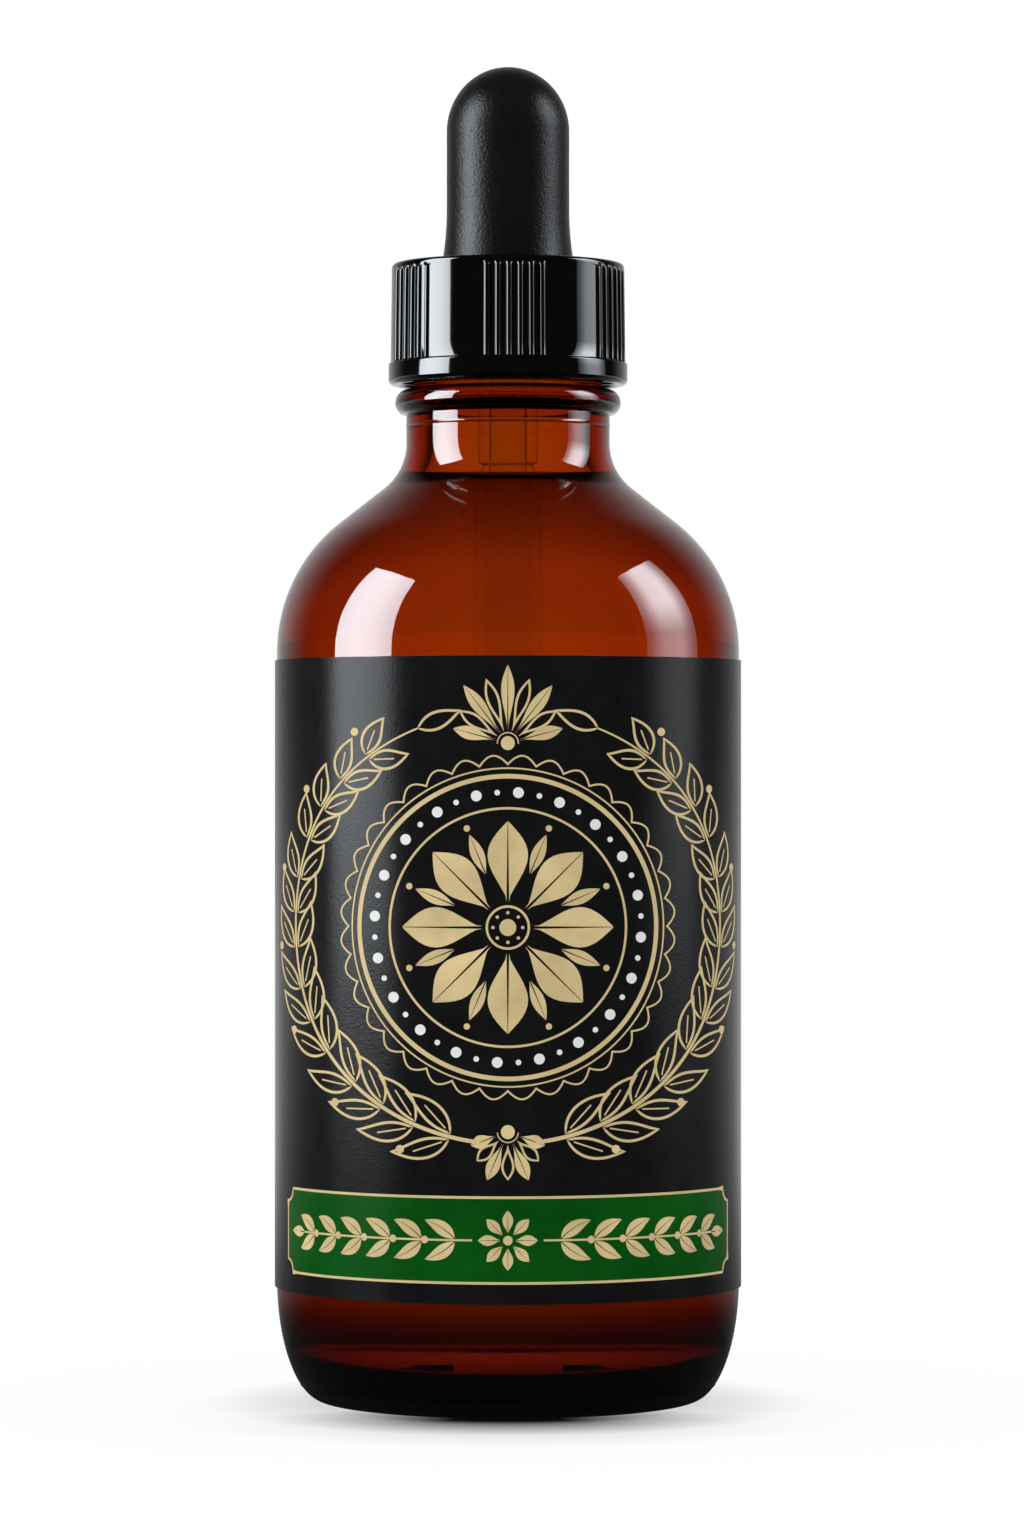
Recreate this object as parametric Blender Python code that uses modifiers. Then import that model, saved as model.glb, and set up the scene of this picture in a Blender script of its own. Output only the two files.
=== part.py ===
"""Dropper bottle for bitters, as its five real pieces.

An amber glass bottle with a threaded neck, the paper label round its body, and a closure of
three pieces: a ribbed screw cap, a rubber bulb whose flange seals on the glass rim, and a glass
pipette held in the bulb's throat.

Units are metres and +Z is up. The origin is the centre of the ring that the bottle stands on,
and the front of the label faces -Y.
"""

import math

import bmesh
import bpy

PART_NAME = "bitters_bottle"
CUTTER_NAME = "helper_shapes"

# Glass body
BODY_RADIUS = 0.0240
BODY_STRAIGHT = 0.0650
BODY_WALL = 0.0024
HEEL_HEIGHT = 0.0126
HEEL_INSET = 0.0049
STANDING_RING_WIDTH = 0.0026
PUSH_UP_DEPTH = 0.0016
FLOOR_THICKNESS = 0.0032
FLOOR_CROWN = 0.0005
INNER_HEEL_RADIUS = 0.0070

# Shoulder and neck
SHOULDER_RADIUS = 0.0170
SHOULDER_CONE_ANGLE = math.radians(52.0)
NECK_RADIUS = 0.01057
NECK_FILLET_RADIUS = 0.0060
NECK_LENGTH = 0.0029
BORE_RADIUS = 0.0078
BORE_FILLET_RADIUS = 0.0084
BEAD_PROJECTION = 0.00115
BEAD_HEIGHT = 0.0026

# Threaded finish above the bead
FINISH_RADIUS = 0.00985
FINISH_LENGTH = 0.0090
RIM_OUTER_ROUND = 0.0008
RIM_INNER_ROUND = 0.0005
THREAD_PITCH = 0.003175
THREAD_TURNS = 1.1
THREAD_CREST_RADIUS = 0.0108
THREAD_RIDGE_RADIUS = 0.00085
THREAD_TOP_DEPTH = 0.00195

# Paper label
LABEL_HEIGHT = 0.0648
LABEL_BASE_HEIGHT = 0.0119
LABEL_THICKNESS = 0.00012
LABEL_GLUE_GAP = 0.0001
LABEL_SEAM_GAP = 0.0069
LABEL_WIDTH = 2.0 * math.pi * (BODY_RADIUS + LABEL_GLUE_GAP) - LABEL_SEAM_GAP

# Screw cap
CAP_HEIGHT = 0.0126
CAP_SKIRT_TOP_RADIUS = 0.01209
CAP_SKIRT_FOOT_RADIUS = 0.0122
CAP_TOP_THICKNESS = 0.0015
CAP_EDGE_CHAMFER = 0.0005
CAP_FLANGE_RADIUS = 0.01242
CAP_FLANGE_HEIGHT = 0.0023
CAP_MOUTH_CHAMFER = 0.0003
CAP_THREAD_RIDGE_RADIUS = 0.0008
CAP_THREAD_LOW_HEIGHT = 0.0016
CAP_RIB_RADIUS = 0.0003
CAP_RIB_PITCH_ANGLE = math.radians(5.44)
CAP_RIB_GROUP_OFFSET = math.radians(3.3)
CAP_RIBS_PER_GROUP = 6
CAP_RIB_GROUPS = 6

# Rubber bulb
BULB_RADIUS = 0.00637
BULB_DOME_HEIGHT = 0.0067
BULB_STRAIGHT = 0.0081
BULB_FLARE = 0.0005
BULB_FLARE_HEIGHT = 0.0057
BULB_WALL = 0.0012
BULB_FLANGE_RADIUS = 0.0096
BULB_FLANGE_THICKNESS = 0.0020
BULB_FLANGE_ROUND = 0.0003
BULB_THROAT_LENGTH = 0.0063
BULB_CAVITY_CONE_HEIGHT = 0.0022

# Glass pipette
PIPETTE_LENGTH = 0.1000
PIPETTE_BARREL_RADIUS = 0.0031
PIPETTE_BARREL_LENGTH = 0.0240
PIPETTE_STEM_RADIUS = 0.0027
PIPETTE_SHOULDER_LENGTH = 0.0004
PIPETTE_WALL = 0.0009
PIPETTE_TAPER_LENGTH = 0.0120
PIPETTE_TIP_RADIUS = 0.0012
PIPETTE_TIP_LENGTH = 0.0030
PIPETTE_TIP_BORE_RADIUS = 0.0005
PIPETTE_COLLAR_RADIUS = 0.0037
PIPETTE_COLLAR_HEIGHT = 0.0020
PIPETTE_COLLAR_DEPTH = 0.0023
PIPETTE_EDGE_ROUND = 0.0002

# Clearances between neighbouring pieces
SEAT_CLEARANCE = 0.0003
THREAD_CLEARANCE = 0.00035
RIB_OVERRUN = 0.0002

# Facet counts
BODY_FACETS = 48
CAP_FACETS = 48
BULB_FACETS = 32
PIPETTE_FACETS = 24
LABEL_FACETS = 46
RIB_SIDES = 8
THREAD_POINTS_PER_TURN = 24

MERGE_DISTANCE = 0.000001
QUARTER_TURN = math.pi / 2.0
HALF_TURN = math.pi
FULL_TURN = 2.0 * math.pi
THREAD_RUN_OUT_SHARE = 0.12
THREAD_END_SIZE_SHARE = 0.5
SHARP_EDGE_ANGLE = math.radians(38.0)


def clear_scene():
    """Remove every object, so that the script starts from nothing."""
    for item in list(bpy.data.objects):
        bpy.data.objects.remove(item, do_unlink=True)


def new_collection(name):
    collection = bpy.data.collections.new(name)
    bpy.context.scene.collection.children.link(collection)
    return collection


def new_material(name, color, roughness, metallic=0.0, transmission=0.0, ior=1.5):
    material = bpy.data.materials.new(name)
    material.use_nodes = True
    shader = material.node_tree.nodes["Principled BSDF"]
    shader.inputs["Base Color"].default_value = color
    shader.inputs["Roughness"].default_value = roughness
    shader.inputs["Metallic"].default_value = metallic
    shader.inputs["Transmission Weight"].default_value = transmission
    shader.inputs["IOR"].default_value = ior
    material.diffuse_color = color
    return material


def arc(center, radius, start_angle, end_angle, steps):
    """Points of a circular arc in the profile plane, both ends included."""
    return ellipse_arc(center, (radius, radius), start_angle, end_angle, steps)


def ellipse_arc(center, radii, start_angle, end_angle, steps):
    points = []
    for index in range(steps + 1):
        angle = start_angle + (end_angle - start_angle) * index / steps
        across = center[0] + radii[0] * math.cos(angle)
        height = center[1] + radii[1] * math.sin(angle)
        points.append((across, height))
    return points


def turned_piece(name, profile, facets, material, collection, closed=False, angle=FULL_TURN):
    """Object made from a profile in the XZ plane that a Screw modifier turns round Z."""
    mesh = bpy.data.meshes.new(name)
    edges = [(index, index + 1) for index in range(len(profile) - 1)]
    if closed:
        edges.append((len(profile) - 1, 0))
    mesh.from_pydata([(across, 0.0, height) for across, height in profile], edges, [])
    mesh.materials.append(material)
    piece = bpy.data.objects.new(name, mesh)
    collection.objects.link(piece)
    screw = piece.modifiers.new("turned", "SCREW")
    screw.axis = "Z"
    screw.angle = angle
    screw.steps = facets
    screw.render_steps = facets
    screw.use_merge_vertices = True
    screw.merge_threshold = MERGE_DISTANCE
    screw.use_smooth_shade = True
    return piece


def join_shape(piece, shape, label):
    """Add a helper shape to a piece with a Boolean union."""
    union = piece.modifiers.new(label, "BOOLEAN")
    union.operation = "UNION"
    union.solver = "EXACT"
    union.object = shape


def freeze_shape(piece):
    """Apply a piece's modifiers, then shade it smooth on the round and sharp at its edges."""
    depsgraph = bpy.context.evaluated_depsgraph_get()
    mesh = bpy.data.meshes.new_from_object(piece.evaluated_get(depsgraph))
    mesh.shade_smooth()
    mesh.set_sharp_from_angle(angle=SHARP_EDGE_ANGLE)
    piece.modifiers.clear()
    piece.data = mesh
    mesh.name = piece.name


def hide_helper(shape):
    shape.hide_render = True
    shape.display_type = "WIRE"


def place_under(piece, parent, height):
    """Parent a piece to an empty and put its origin on the axis at a world height."""
    piece.parent = parent
    piece.location = (0.0, 0.0, height - parent.location.z)


def shoulder_curve(shoulder_radius, fillet_radius, neck_radius):
    """Profile from the neck down a fillet and a cone to the body, and the neck's foot height.

    The shoulder's arc keeps its centre inside the body, so that the glass has an even wall.
    """
    center = (BODY_RADIUS - SHOULDER_RADIUS, HEEL_HEIGHT + BODY_STRAIGHT)
    normal = (math.cos(SHOULDER_CONE_ANGLE), math.sin(SHOULDER_CONE_ANGLE))
    along_normal = center[0] * normal[0] + center[1] * normal[1] + shoulder_radius
    fillet_across = neck_radius + fillet_radius
    fillet_height = (along_normal + fillet_radius - fillet_across * normal[0]) / normal[1]
    fillet_end = HALF_TURN + SHOULDER_CONE_ANGLE
    points = arc((fillet_across, fillet_height), fillet_radius, HALF_TURN, fillet_end, 5)
    points += arc(center, shoulder_radius, SHOULDER_CONE_ANGLE, 0.0, 6)
    return points, fillet_height


def neck_foot_height():
    return shoulder_curve(SHOULDER_RADIUS, NECK_FILLET_RADIUS, NECK_RADIUS)[1]


def bead_top_height():
    return neck_foot_height() + NECK_LENGTH + BEAD_HEIGHT


def rim_height():
    return bead_top_height() + FINISH_LENGTH


def cap_top_height():
    seal = BULB_FLANGE_THICKNESS + 2.0 * SEAT_CLEARANCE
    return rim_height() + seal + CAP_TOP_THICKNESS


def cap_foot_height():
    return cap_top_height() - CAP_HEIGHT


def helix_ridge(name, wall_radius, center_radius, ridge_radius, start, turns, into_wall):
    """Thread ridge as a tube along a right-hand helix, whose ends sink into the wall.

    start is the (angle, height) of the lower end. into_wall is the side on which the wall's
    material lies: -1 towards the axis, +1 away from it.
    """
    count = round(THREAD_POINTS_PER_TURN * turns)
    buried_depth = THREAD_END_SIZE_SHARE * ridge_radius + SEAT_CLEARANCE / 3.0
    buried_radius = wall_radius + into_wall * buried_depth
    curve = bpy.data.curves.new(name, "CURVE")
    curve.dimensions = "3D"
    curve.bevel_depth = ridge_radius
    curve.bevel_resolution = 2
    curve.use_fill_caps = True
    spline = curve.splines.new("POLY")
    spline.points.add(count)
    for index, point in enumerate(spline.points):
        share = index / count
        rise = min(1.0, min(share, 1.0 - share) / THREAD_RUN_OUT_SHARE)
        across = buried_radius + (center_radius - buried_radius) * rise
        angle = start[0] + FULL_TURN * turns * share
        height = start[1] + THREAD_PITCH * turns * share
        point.co = (across * math.cos(angle), across * math.sin(angle), height, 1.0)
        point.radius = THREAD_END_SIZE_SHARE + (1.0 - THREAD_END_SIZE_SHARE) * rise
    curve_object = bpy.data.objects.new(name, curve)
    bpy.context.scene.collection.objects.link(curve_object)
    return mesh_from_curve(curve_object)


def mesh_from_curve(curve_object):
    """Turn a curve into a welded mesh object, so that a Boolean can take it."""
    depsgraph = bpy.context.evaluated_depsgraph_get()
    mesh = bpy.data.meshes.new_from_object(curve_object.evaluated_get(depsgraph))
    welded = bmesh.new()
    welded.from_mesh(mesh)
    bmesh.ops.remove_doubles(welded, verts=welded.verts, dist=MERGE_DISTANCE)
    bmesh.ops.recalc_face_normals(welded, faces=welded.faces)
    welded.to_mesh(mesh)
    welded.free()
    name = curve_object.name
    place = curve_object.matrix_world.copy()
    bpy.data.objects.remove(curve_object, do_unlink=True)
    shape = bpy.data.objects.new(name, mesh)
    shape.matrix_world = place
    return shape


def bottle_thread_start():
    """Angle and height of the lower end of the bottle's thread."""
    top = rim_height() - THREAD_TOP_DEPTH
    return (0.0, top - THREAD_PITCH * THREAD_TURNS)


def cap_thread_start():
    """Lower end of the cap's thread, midway between the turns of the bottle's thread."""
    bottle_angle, bottle_height = bottle_thread_start()
    height = cap_foot_height() + CAP_THREAD_LOW_HEIGHT
    turns = (height - bottle_height) / THREAD_PITCH + 0.5
    return (bottle_angle + FULL_TURN * turns, height)


def outer_glass_profile():
    """Outside of the bottle, from the top of the rim down to the centre of the base."""
    rim = rim_height()
    bead_top = bead_top_height()
    bead_middle = bead_top - BEAD_HEIGHT / 2.0
    rim_center = (FINISH_RADIUS - RIM_OUTER_ROUND, rim - RIM_OUTER_ROUND)
    points = arc(rim_center, RIM_OUTER_ROUND, QUARTER_TURN, 0.0, 3)
    points.append((FINISH_RADIUS, bead_top + (NECK_RADIUS - FINISH_RADIUS)))
    bead_radii = (BEAD_PROJECTION, BEAD_HEIGHT / 2.0)
    bead_center = (NECK_RADIUS, bead_middle)
    points += ellipse_arc(bead_center, bead_radii, QUARTER_TURN, -QUARTER_TURN, 6)
    points += shoulder_curve(SHOULDER_RADIUS, NECK_FILLET_RADIUS, NECK_RADIUS)[0]
    heel_center = (BODY_RADIUS - HEEL_INSET, HEEL_HEIGHT)
    points += ellipse_arc(heel_center, (HEEL_INSET, HEEL_HEIGHT), 0.0, -QUARTER_TURN, 7)
    ring_inside = BODY_RADIUS - HEEL_INSET - STANDING_RING_WIDTH
    points.append((ring_inside, 0.0))
    points += ellipse_arc((0.0, 0.0), (ring_inside, PUSH_UP_DEPTH), 0.0, QUARTER_TURN, 4)[1:-1]
    points.append((0.0, PUSH_UP_DEPTH))
    return points


def inner_glass_profile():
    """Inside of the bottle, from the centre of its floor up to the top of the rim."""
    rim = rim_height()
    inner_radius = BODY_RADIUS - BODY_WALL
    floor = PUSH_UP_DEPTH + FLOOR_THICKNESS
    heel_center = (inner_radius - INNER_HEEL_RADIUS, floor - FLOOR_CROWN + INNER_HEEL_RADIUS)
    shoulder = shoulder_curve(SHOULDER_RADIUS - BODY_WALL, BORE_FILLET_RADIUS, BORE_RADIUS)[0]
    rim_center = (BORE_RADIUS + RIM_INNER_ROUND, rim - RIM_INNER_ROUND)
    points = [(0.0, floor)]
    points += arc(heel_center, INNER_HEEL_RADIUS, -QUARTER_TURN, 0.0, 5)
    points += list(reversed(shoulder))
    points += arc(rim_center, RIM_INNER_ROUND, HALF_TURN, QUARTER_TURN, 2)
    return points


def make_bottle(collection, helpers):
    glass = new_material("amber_glass", (0.30, 0.07, 0.01, 1.0), 0.03, transmission=1.0)
    profile = inner_glass_profile() + outer_glass_profile()
    bottle = turned_piece("bottle", profile, BODY_FACETS, glass, collection)
    center_radius = THREAD_CREST_RADIUS - THREAD_RIDGE_RADIUS
    ridge = helix_ridge(
        "bottle_thread", FINISH_RADIUS, center_radius, THREAD_RIDGE_RADIUS,
        bottle_thread_start(), THREAD_TURNS, -1.0)
    helpers.objects.link(ridge)
    hide_helper(ridge)
    join_shape(bottle, ridge, "thread")
    return bottle


def make_label(collection):
    """Paper wrapped all round the body but for the open seam at the back."""
    paper = new_material("black_label_paper", (0.012, 0.012, 0.013, 1.0), 0.7)
    radius = BODY_RADIUS + LABEL_GLUE_GAP
    angle = LABEL_WIDTH / radius
    profile = [(radius, LABEL_BASE_HEIGHT + LABEL_HEIGHT), (radius, LABEL_BASE_HEIGHT)]
    label = turned_piece("label", profile, LABEL_FACETS, paper, collection, angle=angle)
    label.rotation_euler = (0.0, 0.0, QUARTER_TURN + (FULL_TURN - angle) / 2.0)
    paper_thickness = label.modifiers.new("paper thickness", "SOLIDIFY")
    paper_thickness.thickness = LABEL_THICKNESS
    paper_thickness.offset = 1.0
    paper_thickness.use_even_offset = True
    return label


def cap_profile():
    """Section of the cap as a closed loop, with heights counted from the cap's foot."""
    bore = THREAD_CREST_RADIUS + SEAT_CLEARANCE
    hole = BULB_RADIUS + BULB_FLARE + SEAT_CLEARANCE
    ceiling = CAP_HEIGHT - CAP_TOP_THICKNESS
    flange_round = CAP_FLANGE_HEIGHT / 4.0
    foot_center = (CAP_FLANGE_RADIUS - flange_round, flange_round)
    points = [(hole, ceiling), (hole, CAP_HEIGHT)]
    points.append((CAP_SKIRT_TOP_RADIUS - CAP_EDGE_CHAMFER, CAP_HEIGHT))
    points.append((CAP_SKIRT_TOP_RADIUS, CAP_HEIGHT - CAP_EDGE_CHAMFER))
    points.append((CAP_SKIRT_FOOT_RADIUS, CAP_FLANGE_HEIGHT))
    flange_step = CAP_FLANGE_RADIUS - CAP_SKIRT_FOOT_RADIUS
    points.append((CAP_FLANGE_RADIUS, CAP_FLANGE_HEIGHT - flange_step))
    points += arc(foot_center, flange_round, 0.0, -QUARTER_TURN, 3)
    points.append((bore + CAP_MOUTH_CHAMFER, 0.0))
    points.append((bore, CAP_MOUTH_CHAMFER))
    points.append((bore, ceiling))
    return points


def make_rib_shape():
    """All the grip ribs as one helper: groups of upright rods let into the skirt."""
    length = CAP_HEIGHT - CAP_EDGE_CHAMFER - CAP_FLANGE_HEIGHT + RIB_OVERRUN
    middle = CAP_FLANGE_HEIGHT - RIB_OVERRUN + length / 2.0
    group_pitch = FULL_TURN / CAP_RIB_GROUPS
    first = CAP_RIB_GROUP_OFFSET - QUARTER_TURN
    first -= CAP_RIB_PITCH_ANGLE * (CAP_RIBS_PER_GROUP - 1) / 2.0
    ribs = bmesh.new()
    for group in range(CAP_RIB_GROUPS):
        for rib in range(CAP_RIBS_PER_GROUP):
            angle = first + group * group_pitch + rib * CAP_RIB_PITCH_ANGLE
            made = bmesh.ops.create_cone(
                ribs, cap_ends=True, segments=RIB_SIDES, radius1=CAP_RIB_RADIUS,
                radius2=CAP_RIB_RADIUS, depth=length)
            across = CAP_SKIRT_TOP_RADIUS * math.cos(angle)
            along = CAP_SKIRT_TOP_RADIUS * math.sin(angle)
            bmesh.ops.translate(ribs, verts=made["verts"], vec=(across, along, middle))
    mesh = bpy.data.meshes.new("cap_ribs")
    ribs.to_mesh(mesh)
    ribs.free()
    return bpy.data.objects.new("cap_ribs", mesh)


def make_cap(collection, helpers, axis):
    plastic = new_material("black_gloss_plastic", (0.010, 0.010, 0.011, 1.0), 0.12)
    cap = turned_piece("cap", cap_profile(), CAP_FACETS, plastic, collection, closed=True)
    foot = cap_foot_height()
    place_under(cap, axis, foot)
    bore = THREAD_CREST_RADIUS + SEAT_CLEARANCE
    center_radius = FINISH_RADIUS + THREAD_CLEARANCE + CAP_THREAD_RIDGE_RADIUS
    start_angle, start_height = cap_thread_start()
    ridge = helix_ridge(
        "cap_thread", bore, center_radius, CAP_THREAD_RIDGE_RADIUS,
        (start_angle, start_height - foot), THREAD_TURNS, 1.0)
    for shape, label in ((ridge, "thread"), (make_rib_shape(), "grip ribs")):
        helpers.objects.link(shape)
        hide_helper(shape)
        place_under(shape, axis, foot)
        join_shape(cap, shape, label)
    return cap


def bulb_profile():
    """Section of the bulb, with heights counted from the underside of its flange."""
    flange = BULB_FLANGE_THICKNESS
    waist = BULB_RADIUS + BULB_FLARE
    cap_top = flange + SEAT_CLEARANCE + CAP_TOP_THICKNESS
    straight_foot = cap_top + BULB_FLARE_HEIGHT
    dome_foot = straight_foot + BULB_STRAIGHT
    throat = PIPETTE_BARREL_RADIUS + SEAT_CLEARANCE
    groove = PIPETTE_COLLAR_RADIUS + SEAT_CLEARANCE
    groove_middle = BULB_THROAT_LENGTH + PIPETTE_EDGE_ROUND - PIPETTE_COLLAR_DEPTH
    groove_half = PIPETTE_COLLAR_HEIGHT / 2.0 + SEAT_CLEARANCE
    cavity = BULB_RADIUS - BULB_WALL
    cavity_foot = BULB_THROAT_LENGTH + BULB_CAVITY_CONE_HEIGHT
    cavity_dome = (cavity, BULB_DOME_HEIGHT - BULB_WALL)
    points = ellipse_arc((0.0, dome_foot), cavity_dome, QUARTER_TURN, 0.0, 6)
    points[0] = (0.0, points[0][1])
    points.append((cavity, cavity_foot))
    points.append((throat, BULB_THROAT_LENGTH))
    points.append((throat, groove_middle + groove_half))
    points.append((groove, groove_middle + groove_half / 2.0))
    points.append((groove, groove_middle - groove_half / 2.0))
    points.append((throat, groove_middle - groove_half))
    points.append((throat, 0.0))
    points.append((BULB_FLANGE_RADIUS - BULB_FLANGE_ROUND, 0.0))
    points.append((BULB_FLANGE_RADIUS, BULB_FLANGE_ROUND))
    points.append((BULB_FLANGE_RADIUS, flange - BULB_FLANGE_ROUND))
    points.append((BULB_FLANGE_RADIUS - BULB_FLANGE_ROUND, flange))
    points.append((waist, flange))
    for index in range(5):
        share = index / 5.0
        height = cap_top + BULB_FLARE_HEIGHT * share
        points.append((BULB_RADIUS + BULB_FLARE * (1.0 - share) ** 2, height))
    points.append((BULB_RADIUS, straight_foot))
    points += ellipse_arc((0.0, dome_foot), (BULB_RADIUS, BULB_DOME_HEIGHT), 0.0, QUARTER_TURN, 8)
    points[-1] = (0.0, points[-1][1])
    return list(reversed(points))


def make_bulb(collection, axis):
    rubber = new_material("black_rubber", (0.020, 0.020, 0.022, 1.0), 0.55)
    bulb = turned_piece("bulb", bulb_profile(), BULB_FACETS, rubber, collection)
    place_under(bulb, axis, rim_height() + SEAT_CLEARANCE)
    return bulb


def pipette_profile():
    """Section of the pipette as a closed loop, with heights counted down from its top end."""
    tip = -PIPETTE_LENGTH
    taper_foot = tip + PIPETTE_TIP_LENGTH
    taper_top = taper_foot + PIPETTE_TAPER_LENGTH
    bore = PIPETTE_STEM_RADIUS - PIPETTE_WALL
    collar_half = PIPETTE_COLLAR_HEIGHT / 2.0
    collar = (PIPETTE_BARREL_RADIUS, -PIPETTE_COLLAR_DEPTH)
    collar_radii = (PIPETTE_COLLAR_RADIUS - PIPETTE_BARREL_RADIUS, collar_half)
    barrel_foot = -PIPETTE_BARREL_LENGTH
    points = [(bore, 0.0), (PIPETTE_BARREL_RADIUS - PIPETTE_EDGE_ROUND, 0.0)]
    points.append((PIPETTE_BARREL_RADIUS, -PIPETTE_EDGE_ROUND))
    points += ellipse_arc(collar, collar_radii, QUARTER_TURN, -QUARTER_TURN, 4)
    points.append((PIPETTE_BARREL_RADIUS, barrel_foot))
    points.append((PIPETTE_STEM_RADIUS, barrel_foot - PIPETTE_SHOULDER_LENGTH))
    points.append((PIPETTE_STEM_RADIUS, taper_top))
    points.append((PIPETTE_TIP_RADIUS, taper_foot))
    points.append((PIPETTE_TIP_RADIUS, tip + PIPETTE_EDGE_ROUND))
    points.append((PIPETTE_TIP_RADIUS - PIPETTE_EDGE_ROUND, tip))
    points.append((PIPETTE_TIP_BORE_RADIUS, tip))
    points.append((PIPETTE_TIP_BORE_RADIUS, taper_foot))
    points.append((bore, taper_top))
    return points


def make_pipette(collection, axis):
    glass = new_material("clear_glass", (0.90, 0.92, 0.90, 1.0), 0.03, transmission=1.0)
    pipette = turned_piece("pipette", pipette_profile(), PIPETTE_FACETS, glass, collection, closed=True)
    top = rim_height() + SEAT_CLEARANCE + BULB_THROAT_LENGTH + PIPETTE_EDGE_ROUND
    place_under(pipette, axis, top)
    return pipette


def make_closure_axis(collection):
    """Empty on the thread's axis at the rim, which carries the cap, the bulb and the pipette."""
    axis = bpy.data.objects.new("closure_axis", None)
    axis.empty_display_size = BODY_RADIUS
    axis.location = (0.0, 0.0, rim_height())
    collection.objects.link(axis)
    return axis


def main():
    clear_scene()
    parts = new_collection(PART_NAME)
    helpers = new_collection(CUTTER_NAME)
    make_bottle(parts, helpers)
    make_label(parts)
    axis = make_closure_axis(parts)
    make_cap(parts, helpers, axis)
    make_bulb(parts, axis)
    make_pipette(parts, axis)
    for piece in parts.objects:
        if piece.type == "MESH":
            freeze_shape(piece)


main()
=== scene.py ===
"""Looks of a dropper bottle for bitters, laid out as a Blender add-on.

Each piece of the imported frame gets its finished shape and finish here: the amber glass and what
it holds, the printed paper label, the ribbed cap, the rubber bulb and the glass pipette. Lengths
are in metres, +Z is up and the label's front faces -Y.
"""

import math

import bmesh
import bpy
from bpy.props import FloatProperty, FloatVectorProperty, IntProperty, PointerProperty
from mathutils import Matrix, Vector


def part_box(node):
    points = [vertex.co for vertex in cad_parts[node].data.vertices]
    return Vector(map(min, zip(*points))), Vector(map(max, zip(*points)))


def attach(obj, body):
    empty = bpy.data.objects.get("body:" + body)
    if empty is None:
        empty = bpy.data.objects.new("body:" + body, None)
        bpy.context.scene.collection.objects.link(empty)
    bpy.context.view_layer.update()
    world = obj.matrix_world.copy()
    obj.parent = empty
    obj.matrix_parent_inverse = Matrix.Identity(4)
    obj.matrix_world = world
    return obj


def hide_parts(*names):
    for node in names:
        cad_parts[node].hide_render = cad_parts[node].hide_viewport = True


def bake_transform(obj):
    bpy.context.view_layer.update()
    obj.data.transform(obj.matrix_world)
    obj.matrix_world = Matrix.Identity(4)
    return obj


bl_info = {
    "name": "Bitters Bottle Looks",
    "version": (1, 0, 0),
    "blender": (4, 5, 0),
    "location": "3D View > Sidebar > Bottle",
    "description": "Builds the finished pieces of a dropper bottle and a small photo studio",
    "category": "Object",
}

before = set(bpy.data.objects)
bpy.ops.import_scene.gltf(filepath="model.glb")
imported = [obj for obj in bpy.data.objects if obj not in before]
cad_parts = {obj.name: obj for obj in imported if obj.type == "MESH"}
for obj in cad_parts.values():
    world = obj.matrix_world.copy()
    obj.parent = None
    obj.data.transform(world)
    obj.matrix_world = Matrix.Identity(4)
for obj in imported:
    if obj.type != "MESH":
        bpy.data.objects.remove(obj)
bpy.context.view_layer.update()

QUARTER_TURN = math.pi / 2.0
HALF_TURN = math.pi
FULL_TURN = 2.0 * math.pi
FRONT_ANGLE = -QUARTER_TURN
WHITE = (1.0, 1.0, 1.0, 1.0)
NOISE_MIDDLE = (0.3, 0.7)
FLOOR_CROWN = 0.0005
MOULD_LINE_HALF = 0.00016
COLLAR_DEPTH = 0.0023
EYE_IMAGE_WIDTH = 1024.0
EYE_IMAGE_HEIGHT = 1536.0


def node_top(node):
    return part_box(node)[1].z


def node_foot(node):
    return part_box(node)[0].z


def node_radius(node):
    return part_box(node)[1].x


def length(name, default, description):
    """A size that the user can change, shown in the scene's length unit."""
    return FloatProperty(name=name, description=description, default=default,
                         min=0.0, precision=5, unit="LENGTH")


def angle(name, default, description):
    return FloatProperty(name=name, description=description, default=math.radians(default),
                         subtype="ANGLE")


def share(name, default, description):
    return FloatProperty(name=name, description=description, default=default,
                         min=0.0, max=1.0, subtype="FACTOR")


def color(name, default, description):
    """A linear colour that the user can change."""
    return FloatVectorProperty(name=name, description=description, default=default,
                               size=4, min=0.0, max=1.0, subtype="COLOR")


def count(name, default, description):
    return IntProperty(name=name, description=description, default=default, min=3)


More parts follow.
